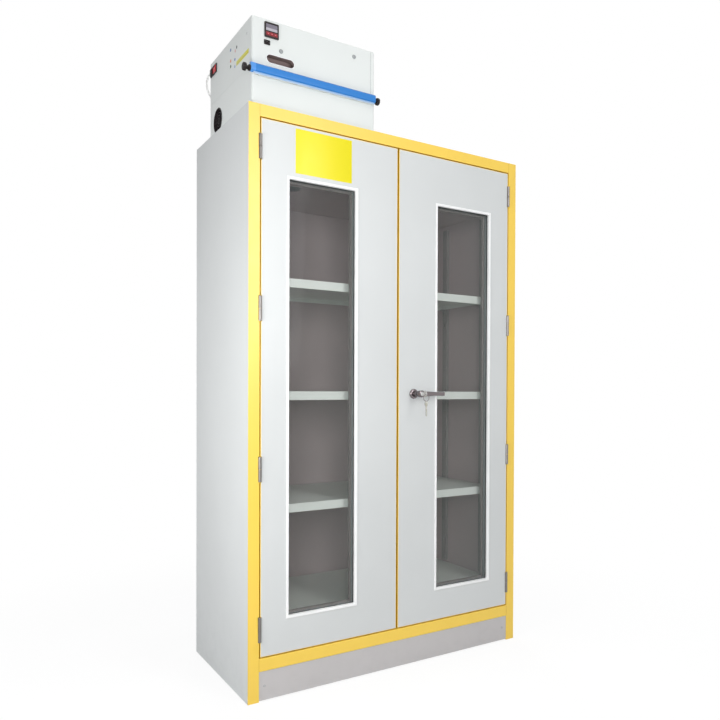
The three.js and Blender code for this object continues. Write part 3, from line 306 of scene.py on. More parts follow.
def seat_film(name, upper, lower):
    """Painted reflection of the blue clamp bar on the ledge below it, washed out towards its lower edge.
    """
    g = Graph(name, upper, 0.5)
    height = (g.axis("Z") - UNIT.z - REFLECTION_FOOT * MM).step(0.0, REFLECTION_HEIGHT * MM)
    cloud = g.noise(80.0, 3.0).step(0.3, 0.7)
    base = g.mix(cloud * 0.4, g.mix(height, lower, upper), shade(upper, 0.92))
    return g.finished(base, 0.44 + g.noise(60.0, 3.0) * 0.12, g.noise(900.0, 2.0), 0.08)


def faced_board(name, colour):
    """Melamine-faced lining board with a fine pearl grain and light rubbing."""
    g = Graph(name, colour, 0.5, shine=0.4)
    grain = g.noise(700.0, 3.0, 0.6)
    cloud = g.noise(3.5, 4.0).step(0.25, 0.75)
    scuff = g.noise(9.0, 5.0, 0.7, g.stretched((1.0, 1.0, 6.0))).step(0.60, 0.74)
    base = g.mix(cloud, shade(colour, 0.95), shade(colour, 1.03))
    base = g.mix(scuff * 0.20, base, shade(colour, 1.15))
    return g.finished(base, 0.44 + grain * 0.12 + scuff * 0.06, grain)


def plastic(name, colour, roughness=0.35, wear=0.0, shine=0.5):
    """Moulded plastic with a spark-eroded grain and polished high spots."""
    g = Graph(name, colour, roughness, shine=shine)
    texture = g.noise(1600.0)
    handled = g.noise(38.0, 4.0).step(0.48, 0.7)
    base = g.mix(g.noise(14.0).step(0.3, 0.7), shade(colour, 0.95), shade(colour, 1.03))
    base = g.mix(handled * wear, base, shade(colour, 1.5))
    return g.finished(base, roughness + 0.06 - handled * 0.1 + texture * 0.04, texture)


def rubber(name, colour, roughness=0.75):
    """Soft rubber or sealant with a dusty bloom."""
    g = Graph(name, colour, roughness, shine=0.3)
    bloom = g.noise(90.0, 4.0).step(0.45, 0.8)
    base = g.mix(bloom * 0.4, colour, shade(colour, 1.9))
    return g.finished(base, roughness - 0.06 + g.noise(500.0) * 0.12, g.noise(1300.0), 0.15)


def cord_sheath(name, colour):
    """Smooth sheath of the lead, slightly dulled in patches."""
    g = Graph(name, colour, 0.42)
    base = g.mix(g.noise(60.0, 4.0).step(0.4, 0.75), colour, shade(colour, 0.92))
    return g.finished(base, 0.36 + g.noise(240.0) * 0.16, g.noise(700.0), 0.08)


def brushed_metal(name, colour, roughness):
    """Drawn or ground metal: fine upright lines, with dull handled patches."""
    g = Graph(name, colour, roughness, 1.0)
    line = g.noise(2400.0, 3.0, 0.6, g.stretched((1.0, 1.0, 0.06)))
    patch = g.noise(24.0, 4.0).step(0.4, 0.75)
    base = g.mix(patch * 0.5, shade(colour, 1.04), shade(colour, 0.88))
    return g.finished(base, roughness - 0.04 + line * 0.10 + patch * 0.10, line, 0.25, 0.00006)


def polished_metal(name, colour, roughness=0.12, rim=0.8):
    """Plated metal: nearly a mirror, with smears, fine hairlines and a painted dark reflection on
    slanting sides.
    """
    g = Graph(name, colour, roughness, 1.0)
    smear = g.noise(45.0, 5.0, 0.65, distortion=0.6).step(0.5, 0.8)
    hair = g.noise(1800.0, where=g.stretched((1.0, 1.0, 0.1)))
    # Painted reflection: slanting sides darken, standing in for dark surroundings seen in the plating
    slant = g.add("ShaderNodeLayerWeight", {}, {"Blend": 0.5}, output="Facing")
    base = g.mix(smear * 0.4, colour, shade(colour, 0.85))
    base = g.mix(slant.step(0.35, 0.9) * rim, base, shade(colour, 0.12))
    return g.finished(base, roughness + smear * 0.12 + hair * 0.04, hair, 0.04, 0.00005)


def zinc_plate(name, colour):
    """Zinc-plated steel with its cloudy spangle."""
    g = Graph(name, colour, 0.38, 0.9)
    flake = g.cells(75.0)
    cloud = g.noise(18.0, 4.0)
    base = g.mix(flake.step(0.1, 0.9), shade(colour, 0.9), shade(colour, 1.08))
    return g.finished(base, 0.30 + flake * 0.12 + cloud * 0.12, cloud)


def pane(name, colour):
    """Laminated fire glass: clear face on, mirror-like at a slant, with faint wipe marks."""
    g = Graph(name, colour, 0.03, shine=0.6)
    slant = g.add("ShaderNodeFresnel", {}, {"IOR": 1.45})
    wipe = g.noise(7.0, 5.0, 0.6, g.stretched((1.0, 1.0, 0.35)), 1.2).step(0.5, 0.8)
    g.set("Alpha", (0.015 + slant * 0.8 + wipe * 0.018).clamp())
    g.set("Roughness", 0.02 + wipe * 0.06)
    g.material.use_backface_culling = False
    return g.material


def paper(name, colour, roughness=0.4):
    """Film on a flat face: even ink and slight changes of gloss."""
    g = Graph(name, colour, roughness)
    tooth = g.noise(900.0, 3.0, 0.6)
    base = g.mix(g.noise(30.0, 3.0) * 0.5, colour, shade(colour, 0.95))
    rough = roughness - 0.08 + g.noise(12.0, 3.0) * 0.16
    return g.finished(base, rough, tooth + g.noise(30.0), 0.06)


def display(name, colour, stripe):
    """Liquid-crystal window: an unlit field with a fine dot grid and a paler foot line."""
    g = Graph(name, colour, 0.16)
    dots = g.cells(1500.0).step(0.1, 0.6)
    foot = (g.axis("Z") - (UNIT.z + DISPLAY_FOOT * MM)).step(0.0055, 0.0075)
    field = g.mix(g.noise(60.0).step(0.2, 0.8), shade(colour, 0.85), shade(colour, 1.1))
    base = g.mix(foot, stripe, g.mix(dots * 0.4, field, shade(colour, 1.3)))
    return g.finished(base, 0.12 + dots * 0.06)


def grip_cup(name, upper, lower):
    """Soft-touch lining of the finger recess, with painted shade darkening it towards its lower lip."""
    g = Graph(name, lower, 0.6, shine=0.3)
    # Painted shade: the lining darkens from the upper colour to the lower one near the recess's lower
    # lip
    height = (g.axis("Z") - (UNIT.z + GRIP_FOOT * MM)).step(0.004, 0.024)
    worn = g.noise(60.0, 4.0).step(0.45, 0.75)
    base = g.mix(worn * 0.25, g.mix(height, lower, upper), shade(upper, 1.15))
    return g.finished(base, 0.55 + worn * 0.12, g.noise(900.0), 0.12)


# What makes each finish, its name, and its values: a colour is a user's or a hex code
FINISHES = {
    "skin": (powder_coat, "grey_powder_coat", "skin"),
    "plinth": (powder_coat, "plinth_powder_coat", "plinth"),
    "door_skin": (edged_coat, "door_powder_coat", "skin", "fbe391"),
    "frame": (powder_coat, "yellow_powder_coat", "frame", 0.36, 0.04, 1.0),
    "joint": (rubber, "joint_sealant", "c79a35", 0.55),
    "edge": (leaf_edge, "door_leaf_edge", "edge", "a09b98"),
    "trim": (plastic, "white_trim", "trim", 0.32),
    "board": (faced_board, "lining_board", "board"),
    "shelf": (powder_coat, "shelf_powder_coat", "shelf", 0.4),
    "unit": (powder_coat, "unit_powder_coat", "unit", 0.4, 0.03, 0.45, 700.0),
    "bar": (bar_paint, "blue_clamp_bar", "bar"),
    "label": (paper, "yellow_label_film", "label", 0.35),
    "cord": (cord_sheath, "white_cord_sheath", "cord"),
    "glass": (pane, "fire_glass", "aab4b4"),
    "black": (plastic, "black_plastic", "150d0f", 0.45, 0.12, 0.25),
    "upright": (powder_coat, "upright_grey", "a8a6a3", 0.45),
    "bar_end": (plastic, "bar_end_blue", "4b93e0", 0.3),
    "seat_film": (seat_film, "bar_seat_film", "7fb0e2", "bcc8d8"),
    "band": (plastic, "dark_red_band", "7a1420", 0.3),
    "mark": (paper, "pale_key_mark", "dba0a2"),
    "grip": (grip_cup, "dark_grip_lining", "8c7b78", "54403f"),
    "red": (plastic, "red_plastic", "c8222e", 0.28),
    "key": (plastic, "dark_red_key", "a81c28", 0.3),
    "disc": (plastic, "grey_cap", "9b9fa0", 0.4),
    "seal": (rubber, "black_seal", "1d1d1f"),
    "gasket": (rubber, "glazing_gasket", "2b2b2b", 0.6),
    "bead": (rubber, "grey_glazing_bead", "8f8a87", 0.6),
    "tape": (rubber, "grey_edge_tape", "5e6060", 0.6),
    # The handle chrome's dark colour is a painted reflection of dark surroundings
    "chrome": (polished_metal, "handle_chrome", "7e7678"),
    "steel": (brushed_metal, "bright_steel", "b9bab9", 0.3),
    "zinc": (zinc_plate, "zinc_plate", "b4b6b8"),
    "hinge": (brushed_metal, "hinge_steel", "7f7b78", 0.34),
    "nickel": (polished_metal, "key_nickel", "cfcec8", 0.25, 0.4),
    "display": (display, "controller_display", "77727e", "b9b4bd"),
    "bezel": (plastic, "controller_bezel", "1d1314", 0.35, 0.0, 0.3),
    "strip": (paper, "strip_film", "d8d23c"),
    "strip_line": (paper, "strip_line_film", "a79a2c"),
}
for number, (_, _, code, _) in enumerate(MARKERS, 1):
    FINISHES[f"marker_{number}"] = (paper, f"marker_film_{number}", code)
made = {}


def colour_of(word):
    """The linear values of one of the user's colours, or else of a hex code."""
    chosen = getattr(bpy.context.scene.cabinet_colours, word, None)
    return linear(word) if chosen is None else tuple(chosen)


def finish(name):
    """A finish by its name, made when it is first asked for."""
    if name not in made:
        make, title, *values = FINISHES[name]
        made[name] = make(title, *(colour_of(v) if isinstance(v, str) else v for v in values))
    return made[name]


def dress(names, look, bevel=0.0):
    """Gives CAD nodes their finish, and rounds their edges where a bevel is stated."""
    for name in names:
        node = NODES[name]
        for slot in node.material_slots:
            slot.material = finish(look)
        if bevel:
            weld = node.modifiers.new("Weld", "WELD")
            weld.merge_threshold = 2e-5
            rounding = node.modifiers.new("Edges", "BEVEL")
            rounding.width = bevel * MM
            rounding.segments = 2
            rounding.limit_method = "ANGLE"
            rounding.angle_limit = math.radians(35)
            rounding.harden_normals = True


# Meshes


def add_piece(name, mesh, look, smooth=30, body="root"):
    """Links a mesh in the cabinet's own frame as a piece that rides on a body."""
    mesh.name = name
    mesh.validate()
    mesh.materials.clear()
    mesh.materials.append(finish(look))
    mesh.shade_smooth()
    mesh.set_sharp_from_angle(angle=math.radians(smooth))
    piece = bpy.data.objects.new(name, mesh)
    bpy.context.scene.collection.objects.link(piece)
    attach(piece, body)
    return piece


def mesh_of(points, faces):
    mesh = bpy.data.meshes.new("shape")
    mesh.from_pydata([tuple(p) for p in points], [], faces)
    mesh.update()
    return mesh


def tidy(mesh):
    """Merges coincident points and turns every face outwards."""
    work = bmesh.new()
    work.from_mesh(mesh)
    bmesh.ops.remove_doubles(work, verts=work.verts, dist=1e-6)
    bmesh.ops.recalc_face_normals(work, faces=work.faces)
    work.to_mesh(mesh)
    work.free()
    return mesh


def joined(meshes):
    work = bmesh.new()
    for mesh in meshes:
        work.from_mesh(mesh)
    whole = bpy.data.meshes.new("joined")
    work.to_mesh(whole)
    work.free()
    return whole


def skin(rings, closed_ends=True):
    """Joins rings of equally many points into one surface."""
    count = len(rings[0])
    last = (len(rings) - 1) * count
    faces = [
        (j + i, j + (i + 1) % count, j + count + (i + 1) % count, j + count + i)
        for j in range(0, last, count) for i in range(count)
    ]
    if closed_ends:
        faces.append(tuple(reversed(range(count))))
        faces.append(tuple(last + i for i in range(count)))
    return tidy(mesh_of([p for ring in rings for p in ring], faces))


def lathe(profile, axis, centre, sides=48):
    """Turns (radius, distance along the axis) pairs, in millimetres, about an axis."""
    order = {"x": (1, 2, 0), "y": (2, 0, 1), "z": (0, 1, 2)}[axis]
    rings = []
    for radius, height in profile:
        ring = []
        for a in turns(sides):
            point = [0.0, 0.0, 0.0]
            for k, value in zip(order, (radius * math.cos(a), radius * math.sin(a), height)):
                point[k] = value * MM
            ring.append(Vector(point) + centre)
        rings.append(ring)
    return skin(rings, profile[0] != profile[-1])


def tube(points, radius, sides=16, closed=False):
    """A round bar along points, with its rings square to the path."""
    rings = []
    count = len(points)
    side = None
    for i, point in enumerate(points):
        ahead = points[(i + 1) % count] if closed else points[min(i + 1, count - 1)]
        behind = points[i - 1] if closed else points[max(i - 1, 0)]
        along = (ahead - behind).normalized()
        if side is None:
            side = along.orthogonal().normalized()
        side = (side - along * side.dot(along)).normalized()
        up = along.cross(side)
        rings.append([
            point + side * (radius * math.cos(a)) + up * (radius * math.sin(a))
            for a in turns(sides)
        ])
    if closed:
        rings.append(rings[0])
    return skin(rings, not closed)


def facing(origin, direction):
    """A frame at a point, whose third axis points along '-Y', '+Y' or '-X'."""
    axes = {
        "-Y": ((1, 0, 0), (0, 0, 1), (0, -1, 0)),
        "+Y": ((-1, 0, 0), (0, 0, 1), (0, 1, 0)),
        "-X": ((0, -1, 0), (0, 0, 1), (-1, 0, 0)),
    }[direction]
    return Matrix.Translation(origin) @ Matrix(axes).transposed().to_4x4()


def plate(loops, thickness, bevel, where):
    """A flat plate from closed outlines in millimetres, with softly rounded edges.
    It stands on the frame's plane and grows along its third axis."""
    curve = bpy.data.curves.new("outline", "CURVE")
    curve.dimensions = "2D"
    curve.fill_mode = "BOTH"
    half = thickness * MM / 2
    curve.extrude = half - bevel * MM
    curve.bevel_depth = bevel * MM
    curve.bevel_resolution = 2
    curve.offset = -bevel * MM
    for loop in loops:
        spline = curve.splines.new("POLY")
        spline.points.add(len(loop) - 1)
        for point, (u, v) in zip(spline.points, loop):
            point.co = (u * MM, v * MM, 0, 1)
        spline.use_cyclic_u = True
    holder = bpy.data.objects.new("outline", curve)
    bpy.context.scene.collection.objects.link(holder)
    bpy.context.view_layer.update()
    graph = bpy.context.evaluated_depsgraph_get()
    mesh = bpy.data.meshes.new_from_object(holder.evaluated_get(graph))
    bpy.data.objects.remove(holder)
    bpy.data.curves.remove(curve)
    mesh.transform(where @ Matrix.Translation((0, 0, half)))
    return tidy(mesh)


def rounded(width, height, radius, centre=(0, 0), steps=6):
    """Outline of a rounded rectangle, anticlockwise."""
    points = []
    for sx, sy, start in ((1, -1, -90), (1, 1, 0), (-1, 1, 90), (-1, -1, 180)):
        for i in range(steps + 1):
            a = math.radians(start + 90 * i / steps)
            x = centre[0] + sx * (width / 2 - radius) + radius * math.cos(a)
            y = centre[1] + sy * (height / 2 - radius) + radius * math.sin(a)
            points.append((x, y))
    return points


def circle(radius, centre=(0, 0), sides=32):
    return [
        (centre[0] + radius * math.cos(a), centre[1] + radius * math.sin(a))
        for a in turns(sides)
    ]


def superellipse(a, b, power, sides):
    """Points round a rounded rectangle of half sizes a and b."""
    points = []
    for i in range(sides):
        angle = 2 * math.pi * (i + 0.5) / sides
        c, s = math.cos(angle), math.sin(angle)
        u = a * math.copysign(abs(c) ** (2 / power), c)
        v = b * math.copysign(abs(s) ** (2 / power), s)
        points.append((u, v))
    return points


# Sizes and colours that a user would change


def colour_property(name, code, description):
    return bpy.props.FloatVectorProperty(
        name=name, description=description, subtype="COLOR", size=3,
        min=0.0, max=1.0, default=linear(code),
    )


def length_property(name, value, description):
    return bpy.props.FloatProperty(
        name=name, description=description, default=value, subtype="DISTANCE", unit="LENGTH"
    )


class CabinetColours(bpy.types.PropertyGroup):
    """Paint, plastic and metal colours of the cabinet."""

    skin: colour_property("Door and side paint", "d5d8d8", "Light grey baked paint")
    # Plinth grey, darker than the side paint: partly its own pinkish grey, partly painted shade for the
    # dimmer light low down
    plinth: colour_property("Plinth paint", "c9c6c6", "Grey of the plinth panel")
    frame: colour_property("Frame paint", "fcd44a", "Yellow of the front frame")
    edge: colour_property("Door edge", "ecc42a", "Deeper yellow seen in the gaps round the doors")
    trim: colour_property("Window trim", "fdfefe", "White frame round each window")
    board: colour_property("Lining", "d1c4c4", "Grey facing of the lining boards")
    shelf: colour_property("Shelves", "f2f8f1", "Pale paint of the shelves and tray")
    unit: colour_property("Filter unit", "e6eae8", "Off-white paint of the filter unit")
    bar: colour_property("Clamp bar", "3080ce", "Blue bar across the filter unit")
    label: colour_property("Label plate", "f2e400", "Bare yellow plate on the left door")
    cord: colour_property("Mains lead", "eeeeec", "White sheath of the mains lead")


class CabinetSizes(bpy.types.PropertyGroup):
    """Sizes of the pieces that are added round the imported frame."""

    sheet_edge: length_property("Sheet edge", 0.0005, "Rounding of folded sheet edges")
    barrel: length_property("Hinge barrel", 0.0058, "Radius of the hinge barrels")
    label_width: length_property("Label width", 0.213, "Width of the label plate")
    label_height: length_property("Label height", 0.149, "Height of the label plate")
    cord_diameter: length_property("Lead diameter", 0.007, "Diameter of the mains lead")


def sizes():
    return bpy.context.scene.cabinet_sizes


# Cord

# Points of the free lead, in millimetres from the cabinet's left side, door faces and floor
LEAD = (
    (30, 459.8, 2222.3), (29.4, 467, 2221.8), (26.9, 475.9, 2219.3), (23.4, 484.3, 2213.5),
    (20.8, 491.2, 2204.7), (19.6, 496, 2193.5), (19.8, 497.6, 2180.9), (21.2, 495.9, 2168.3),
    (23.6, 492.2, 2156.3), (27.2, 487.6, 2144.3), (33, 482.8, 2128.8), (40, 479.8, 2107),
    (48, 480, 2070), (55, 484, 2030), (62, 489.5, 1994.8), (75, 496, 1969.3), (96, 503.3, 1956.8),
    (122, 514.3, 1953.8), (152, 528.5, 1953.8), (182, 541, 1953.8), (208, 548.5, 1953.8),
    (224, 550.5, 1953.8), (232.7, 550.5, 1953.8),
)
COIL = {"x": -330, "y": 500.5, "z": 1953.8, "outer": 50, "pitch": 7.55, "rise": 7.65,
        "turn_back": 2.75, "turns": 5 + 1 / 12}
COIL_STEPS_PER_TURN = 36
# Distance along the plug, half width, half height and squareness of its sections
PLUG_HEAD = (
    (34, 6.5, 5.4, 2.2), (37, 9.5, 7.6, 2.5), (40, 13, 9.4, 2.8), (44, 16.6, 10.4, 3.2),
    (50, 17.6, 10.8, 3.6), (60, 17.9, 10.9, 3.8), (70, 18, 11, 4), (72.6, 17.4, 10.5, 4),
    (74, 16.2, 9.4, 4),
)
PLUG_SLEEVE = 31
PIN_OFFSET = 9.5


def through(points, steps=8):
    """Points of a smooth curve through the given ones, centripetally parametrised."""
    ends = [points[0] * 2 - points[1], *points, points[-1] * 2 - points[-2]]
    path = []
    for p0, p1, p2, p3 in zip(ends, ends[1:], ends[2:], ends[3:]):
        a, b, c = (math.sqrt((q - p).length) for p, q in ((p0, p1), (p1, p2), (p2, p3)))
        start = ((p1 - p0) / a - (p2 - p0) / (a + b) + (p2 - p1) / b) * b
        stop = ((p2 - p1) / b - (p3 - p1) / (b + c) + (p3 - p2) / c) * b
        for i in range(steps):
            t = i / steps
            path.append(
                p1 * (2 * t**3 - 3 * t**2 + 1) + start * (t**3 - 2 * t**2 + t)
                + p2 * (3 * t**2 - 2 * t**3) + stop * (t**3 - t**2)
            )
    return [*path, points[-1]]


def coil_point(t):
    """Point of the coil after t turns: inwards on the lower layer, then back on the upper."""
    inward = min(t, 2 * COIL["turn_back"] - t)
    radius = COIL["outer"] - COIL["pitch"] * inward
    s = min(1.0, max(0.0, (t - COIL["turn_back"] + 0.25) / 0.5))
    climb = s * s * (3 - 2 * s)
    angle = math.pi / 2 - 2 * math.pi * t
    return at(
        COIL["x"] + radius * math.cos(angle),
        COIL["y"] + radius * math.sin(angle),
        COIL["z"] + COIL["rise"] * climb,
    )


def coil_end():
    """Where the coil lets go of the lead, and the way it points."""
    angle = math.pi / 2 - 2 * math.pi * COIL["turns"]
    way = Vector((math.sin(angle), -math.cos(angle), 0.0))
    return coil_point(COIL["turns"]) + way * 7 * MM, way


def cord_path():
    lead = [at(x - HALF_WIDTH, y, z) for x, y, z in LEAD]
    count = round(COIL["turns"] * COIL_STEPS_PER_TURN)
    coil = [coil_point(COIL["turns"] * i / count) for i in range(count + 1)]
    return [*through(lead), *coil, coil_end()[0]]


class CABINET_OT_cord(bpy.types.Operator):
    """Lay the mains lead, its coil and its plug"""

    bl_idname = "cabinet.cord"
    bl_label = "Mains Lead"

    def execute(self, context):
        path = cord_path()
        length = sum((b - a).length for a, b in zip(path, path[1:]))
        diameter = sizes().cord_diameter
        lead = add_piece("mains_lead_cord", tube(path, diameter / 2, 14), "cord", 60)
        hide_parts("mains_lead", "mains_coil")
        plug = self.plug()
        tie = self.tie()
        self.gland()
        return {"FINISHED"}

    def plug(self):
        """Moulded two-pin plug with a ribbed sleeve."""
        start, way = coil_end()
        start = start + way * 0.3 * MM
        side = Vector((-way.y, way.x, 0.0))
        up = Vector((0, 0, 1))
        rings = []
        for s, a, b, power in [*self.sleeve(), *PLUG_HEAD]:
            section = superellipse(a, b, power, 28)
            rings.append([start + (way * s + side * u + up * v) * MM for u, v in section])
        plug = add_piece("mains_plug_body", skin(rings), "cord", 40)
        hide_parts("mains_plug")
        pins = []
        for offset in (-PIN_OFFSET, PIN_OFFSET):
            centre = start + side * offset * MM
            pins.append(skin([
                [
                    centre + (way * s + side * r * math.cos(a) + up * r * math.sin(a)) * MM
                    for a in turns(16)
                ]
                for s, r in ((73, 2.4), (82, 2.4), (82, 2.15), (90.5, 2.15), (92.4, 1.6), (93, 0.8))
            ]))
        metal = add_piece("mains_plug_pins", joined(pins), "steel", 40)
        metal.parent = plug
        metal.matrix_parent_inverse = plug.matrix_world.inverted()
        return plug

    def sleeve(self):
        """Sections of the plug's sleeve, with a groove at every second one."""
        count = 12
        for i in range(count + 1):
            s = PLUG_SLEEVE * i / count
            groove = 0.5 if i % 2 else 0.0
            wide, high = 0.9 * s / PLUG_SLEEVE, 0.15 * s / PLUG_SLEEVE
            yield s, 4.1 + wide - groove, 3.7 + high - groove * 0.4, 2.0

    def tie(self):
        """A soft loop that holds the coil's turns together."""
        centre = at(COIL["x"], COIL["y"], COIL["z"])
        out = Vector((-0.6, -0.8, 0.0))
        low, high = -3.9, COIL["rise"] + 3.9
        section = (
            (27.5, low), (40, low), (53.6, low), (54.4, 2.0),
            (53.6, high), (40, high + 0.2), (27.5, high), (25.4, 2.0),
        )
        path = [centre + (out * r + Vector((0, 0, z))) * MM for r, z in section]
        width = Vector((0.8, -0.6, 0.0)) * 1.6 * MM
        middle = centre + (out * 40 + Vector((0, 0, 3.8))) * MM
        rings = []
        for p in [*path, path[0]]:
            inward = (middle - p).normalized() * 0.35 * MM
            rings.append([p + width, p - width, p - width - inward, p + width - inward])
        return add_piece("mains_coil_tie", skin(rings, False), "cord", 25)

    def gland(self):
        """Ribbed strain relief that tapers towards the lead."""
        profile = [(0, 0.3), (8, 0.3), (8, 6.5), (7.2, 7.6), (6.2, 8.6)]
        ribs = 5
        for i in range(ribs):
            h = 9.2 + 8.4 * i / ribs
            r = 5.8 - 1.3 * i / ribs
            profile += [(r, h), (r, h + 0.9), (r - 0.6, h + 1.1), (r - 0.6, h + 1.5)]
        profile += [(4.4, 18), (0, 18)]
        mesh = lathe(profile, "y", on_unit(16, 430, 272), 36)
        piece = add_piece("cord_strain_relief", mesh, "disc", 40)
        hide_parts("cord_gland")


# Camera and stage

CAMERA = CABINET + Vector((-1.3815, -2.1753, 1.0255))
CAMERA_ANGLES = (-33.5836, -0.607, 0.2403)
# In pixels of the photograph: its side, the focal length and the point straight ahead
PICTURE = 720
FOCAL_LENGTH = 701.825
AHEAD_X, AHEAD_Y = 411.877, 397.061


class CABINET_OT_camera(bpy.types.Operator):
    """Set the camera at the photograph's viewpoint"""

    bl_idname = "cabinet.camera"
    bl_label = "Camera"

    def execute(self, context):
        yaw, pitch, roll = (math.radians(v) for v in CAMERA_ANGLES)
        right = Vector((math.cos(yaw), math.sin(yaw), 0))
        ahead = Vector((-math.sin(yaw), math.cos(yaw), 0))
        up = Vector((0, 0, 1))
        look = ahead * math.cos(pitch) + up * math.sin(pitch)
        top = up * math.cos(pitch) - ahead * math.sin(pitch)
        across = right * math.cos(roll) + top * math.sin(roll)
        top = top * math.cos(roll) - right * math.sin(roll)
        data = bpy.data.cameras.new("Camera")
        data.sensor_width = 36.0
        data.lens = FOCAL_LENGTH / PICTURE * data.sensor_width
        data.shift_x = (PICTURE / 2 - AHEAD_X) / PICTURE
        data.shift_y = (AHEAD_Y - PICTURE / 2) / PICTURE
        data.clip_start = 0.05
        camera = bpy.data.objects.new("Camera", data)
        context.scene.collection.objects.link(camera)
        rotation = Matrix((across, top, -look)).transposed().to_4x4()
        camera.matrix_world = Matrix.Translation(CAMERA) @ rotation
        context.scene.camera = camera
        return {"FINISHED"}


def seen_directly(tree):
    """1 for rays from the camera, off gloss or through glass, and 0 for light that bounces."""
    path = tree.nodes.new("ShaderNodeLightPath")
    seen = path.outputs["Is Camera Ray"]
    for other in ("Is Glossy Ray", "Is Transmission Ray"):
        either = tree.nodes.new("ShaderNodeMath")
        either.operation = "MAXIMUM"
        tree.links.new(seen, either.inputs[0])
        tree.links.new(path.outputs[other], either.inputs[1])
        seen = either.outputs[0]
    return seen


def blended(tree, factor, first, second):
    mix = tree.nodes.new("ShaderNodeMixShader")
    for socket, value in zip(mix.inputs, (factor, first, second)):
        tree.links.new(value, socket)
    return mix.outputs[0]


class CABINET_OT_stage(bpy.types.Operator):
    """Add the floor, the backdrop colour and the soft studio lamps"""

    bl_idname = "cabinet.stage"
    bl_label = "Stage"

    # Name, place, target, width, height and power of each lamp, in metres and watts
    LAMPS = (
        ("key_softbox", (0.45, -2.9, 2.0), (-0.35, -0.23, 1.2), 0.8, 1.7, 26.0),
        ("fill_softbox", (-1.45, -2.75, 1.45), (-0.3, -0.2, 1.1), 1.1, 1.1, 24.0),
        ("left_softbox", (-1.8, -0.75, 1.05), (-0.57, -0.1, 1.0), 0.7, 0.7, 18.0),
        ("overhead", (0.0, -1.2, 4.4), (0.0, 0.0, 1.6), 3.0, 3.0, 36.0),
        ("top_softbox", (0.0, 0.05, 4.4), (0.0, 0.05, 1.9), 0.9, 0.4, 18.0),
        ("back_softbox", (1.2, 4.2, 1.8), (0.0, 0.3, 1.1), 2.4, 2.4, 84.0),
        ("right_softbox", (4.2, 0.4, 1.6), (0.5, 0.0, 1.1), 2.4, 2.4, 62.0),
    )
    ROOM_LIGHT = 0.22
    FLOOR_REACH = 14.0
    # Distances from the middle between which the floor's shadow fades to plain white
    FADE = (0.8, 2.2)
    SHADOW_SHARE = 0.14

    def execute(self, context):
        self.world(context)
        self.floor()
        for name, place, target, width, height, power in self.LAMPS:
            data = bpy.data.lights.new(name, "AREA")
            data.shape = "RECTANGLE"
            data.size, data.size_y = width, height
            data.energy = power
            lamp = bpy.data.objects.new(name, data)
            context.scene.collection.objects.link(lamp)
            way = Vector(target) - Vector(place)
            turn = way.to_track_quat("-Z", "Y").to_matrix().to_4x4()
            lamp.matrix_world = Matrix.Translation(place) @ turn
        context.scene.view_settings.view_transform = "Standard"
        return {"FINISHED"}

    def world(self, context):
        """Faint cool room light, behind which the camera sees plain white."""
        world = bpy.data.worlds.new("Studio")
        context.scene.world = world
        world.use_nodes = True
        tree = world.node_tree
        room = tree.nodes["Background"]
        room.inputs["Color"].default_value = (0.95, 0.97, 1.0, 1.0)
        room.inputs["Strength"].default_value = self.ROOM_LIGHT
        backdrop = tree.nodes.new("ShaderNodeBackground")
        backdrop.inputs["Color"].default_value = (1, 1, 1, 1)
        out = blended(tree, seen_directly(tree), room.outputs[0], backdrop.outputs[0])
        tree.links.new(out, tree.nodes["World Output"].inputs["Surface"])

    def floor(self):
        """A pale floor that keeps the soft shadow and runs out to plain white."""
        r = self.FLOOR_REACH
        mesh = mesh_of([(-r, -r, 0), (r, -r, 0), (r, r, 0), (-r, r, 0)], [(0, 1, 2, 3)])
        floor = bpy.data.objects.new("floor", mesh)
        bpy.context.scene.collection.objects.link(floor)
        graph = Graph("pale_floor", (0.45, 0.45, 0.45), 0.8)
        nodes, tree = graph.tree.nodes, graph.tree
        white = nodes.new("ShaderNodeBsdfDiffuse")
        white.inputs["Color"].default_value = (1, 1, 1, 1)
        plain = nodes.new("ShaderNodeEmission")
        settings = {"operation": "LENGTH"}
        distance = graph.add("ShaderNodeVectorMath", settings, {0: graph.place()}, output="Value")
        reach = distance.step(*self.FADE) * self.SHADOW_SHARE + (1 - self.SHADOW_SHARE)
        seen = blended(tree, reach.socket, white.outputs[0], plain.outputs[0])
        out = blended(tree, seen_directly(tree), graph.shader.outputs[0], seen)
        tree.links.new(out, nodes["Material Output"].inputs["Surface"])
        mesh.materials.append(graph.material)


# Carcass


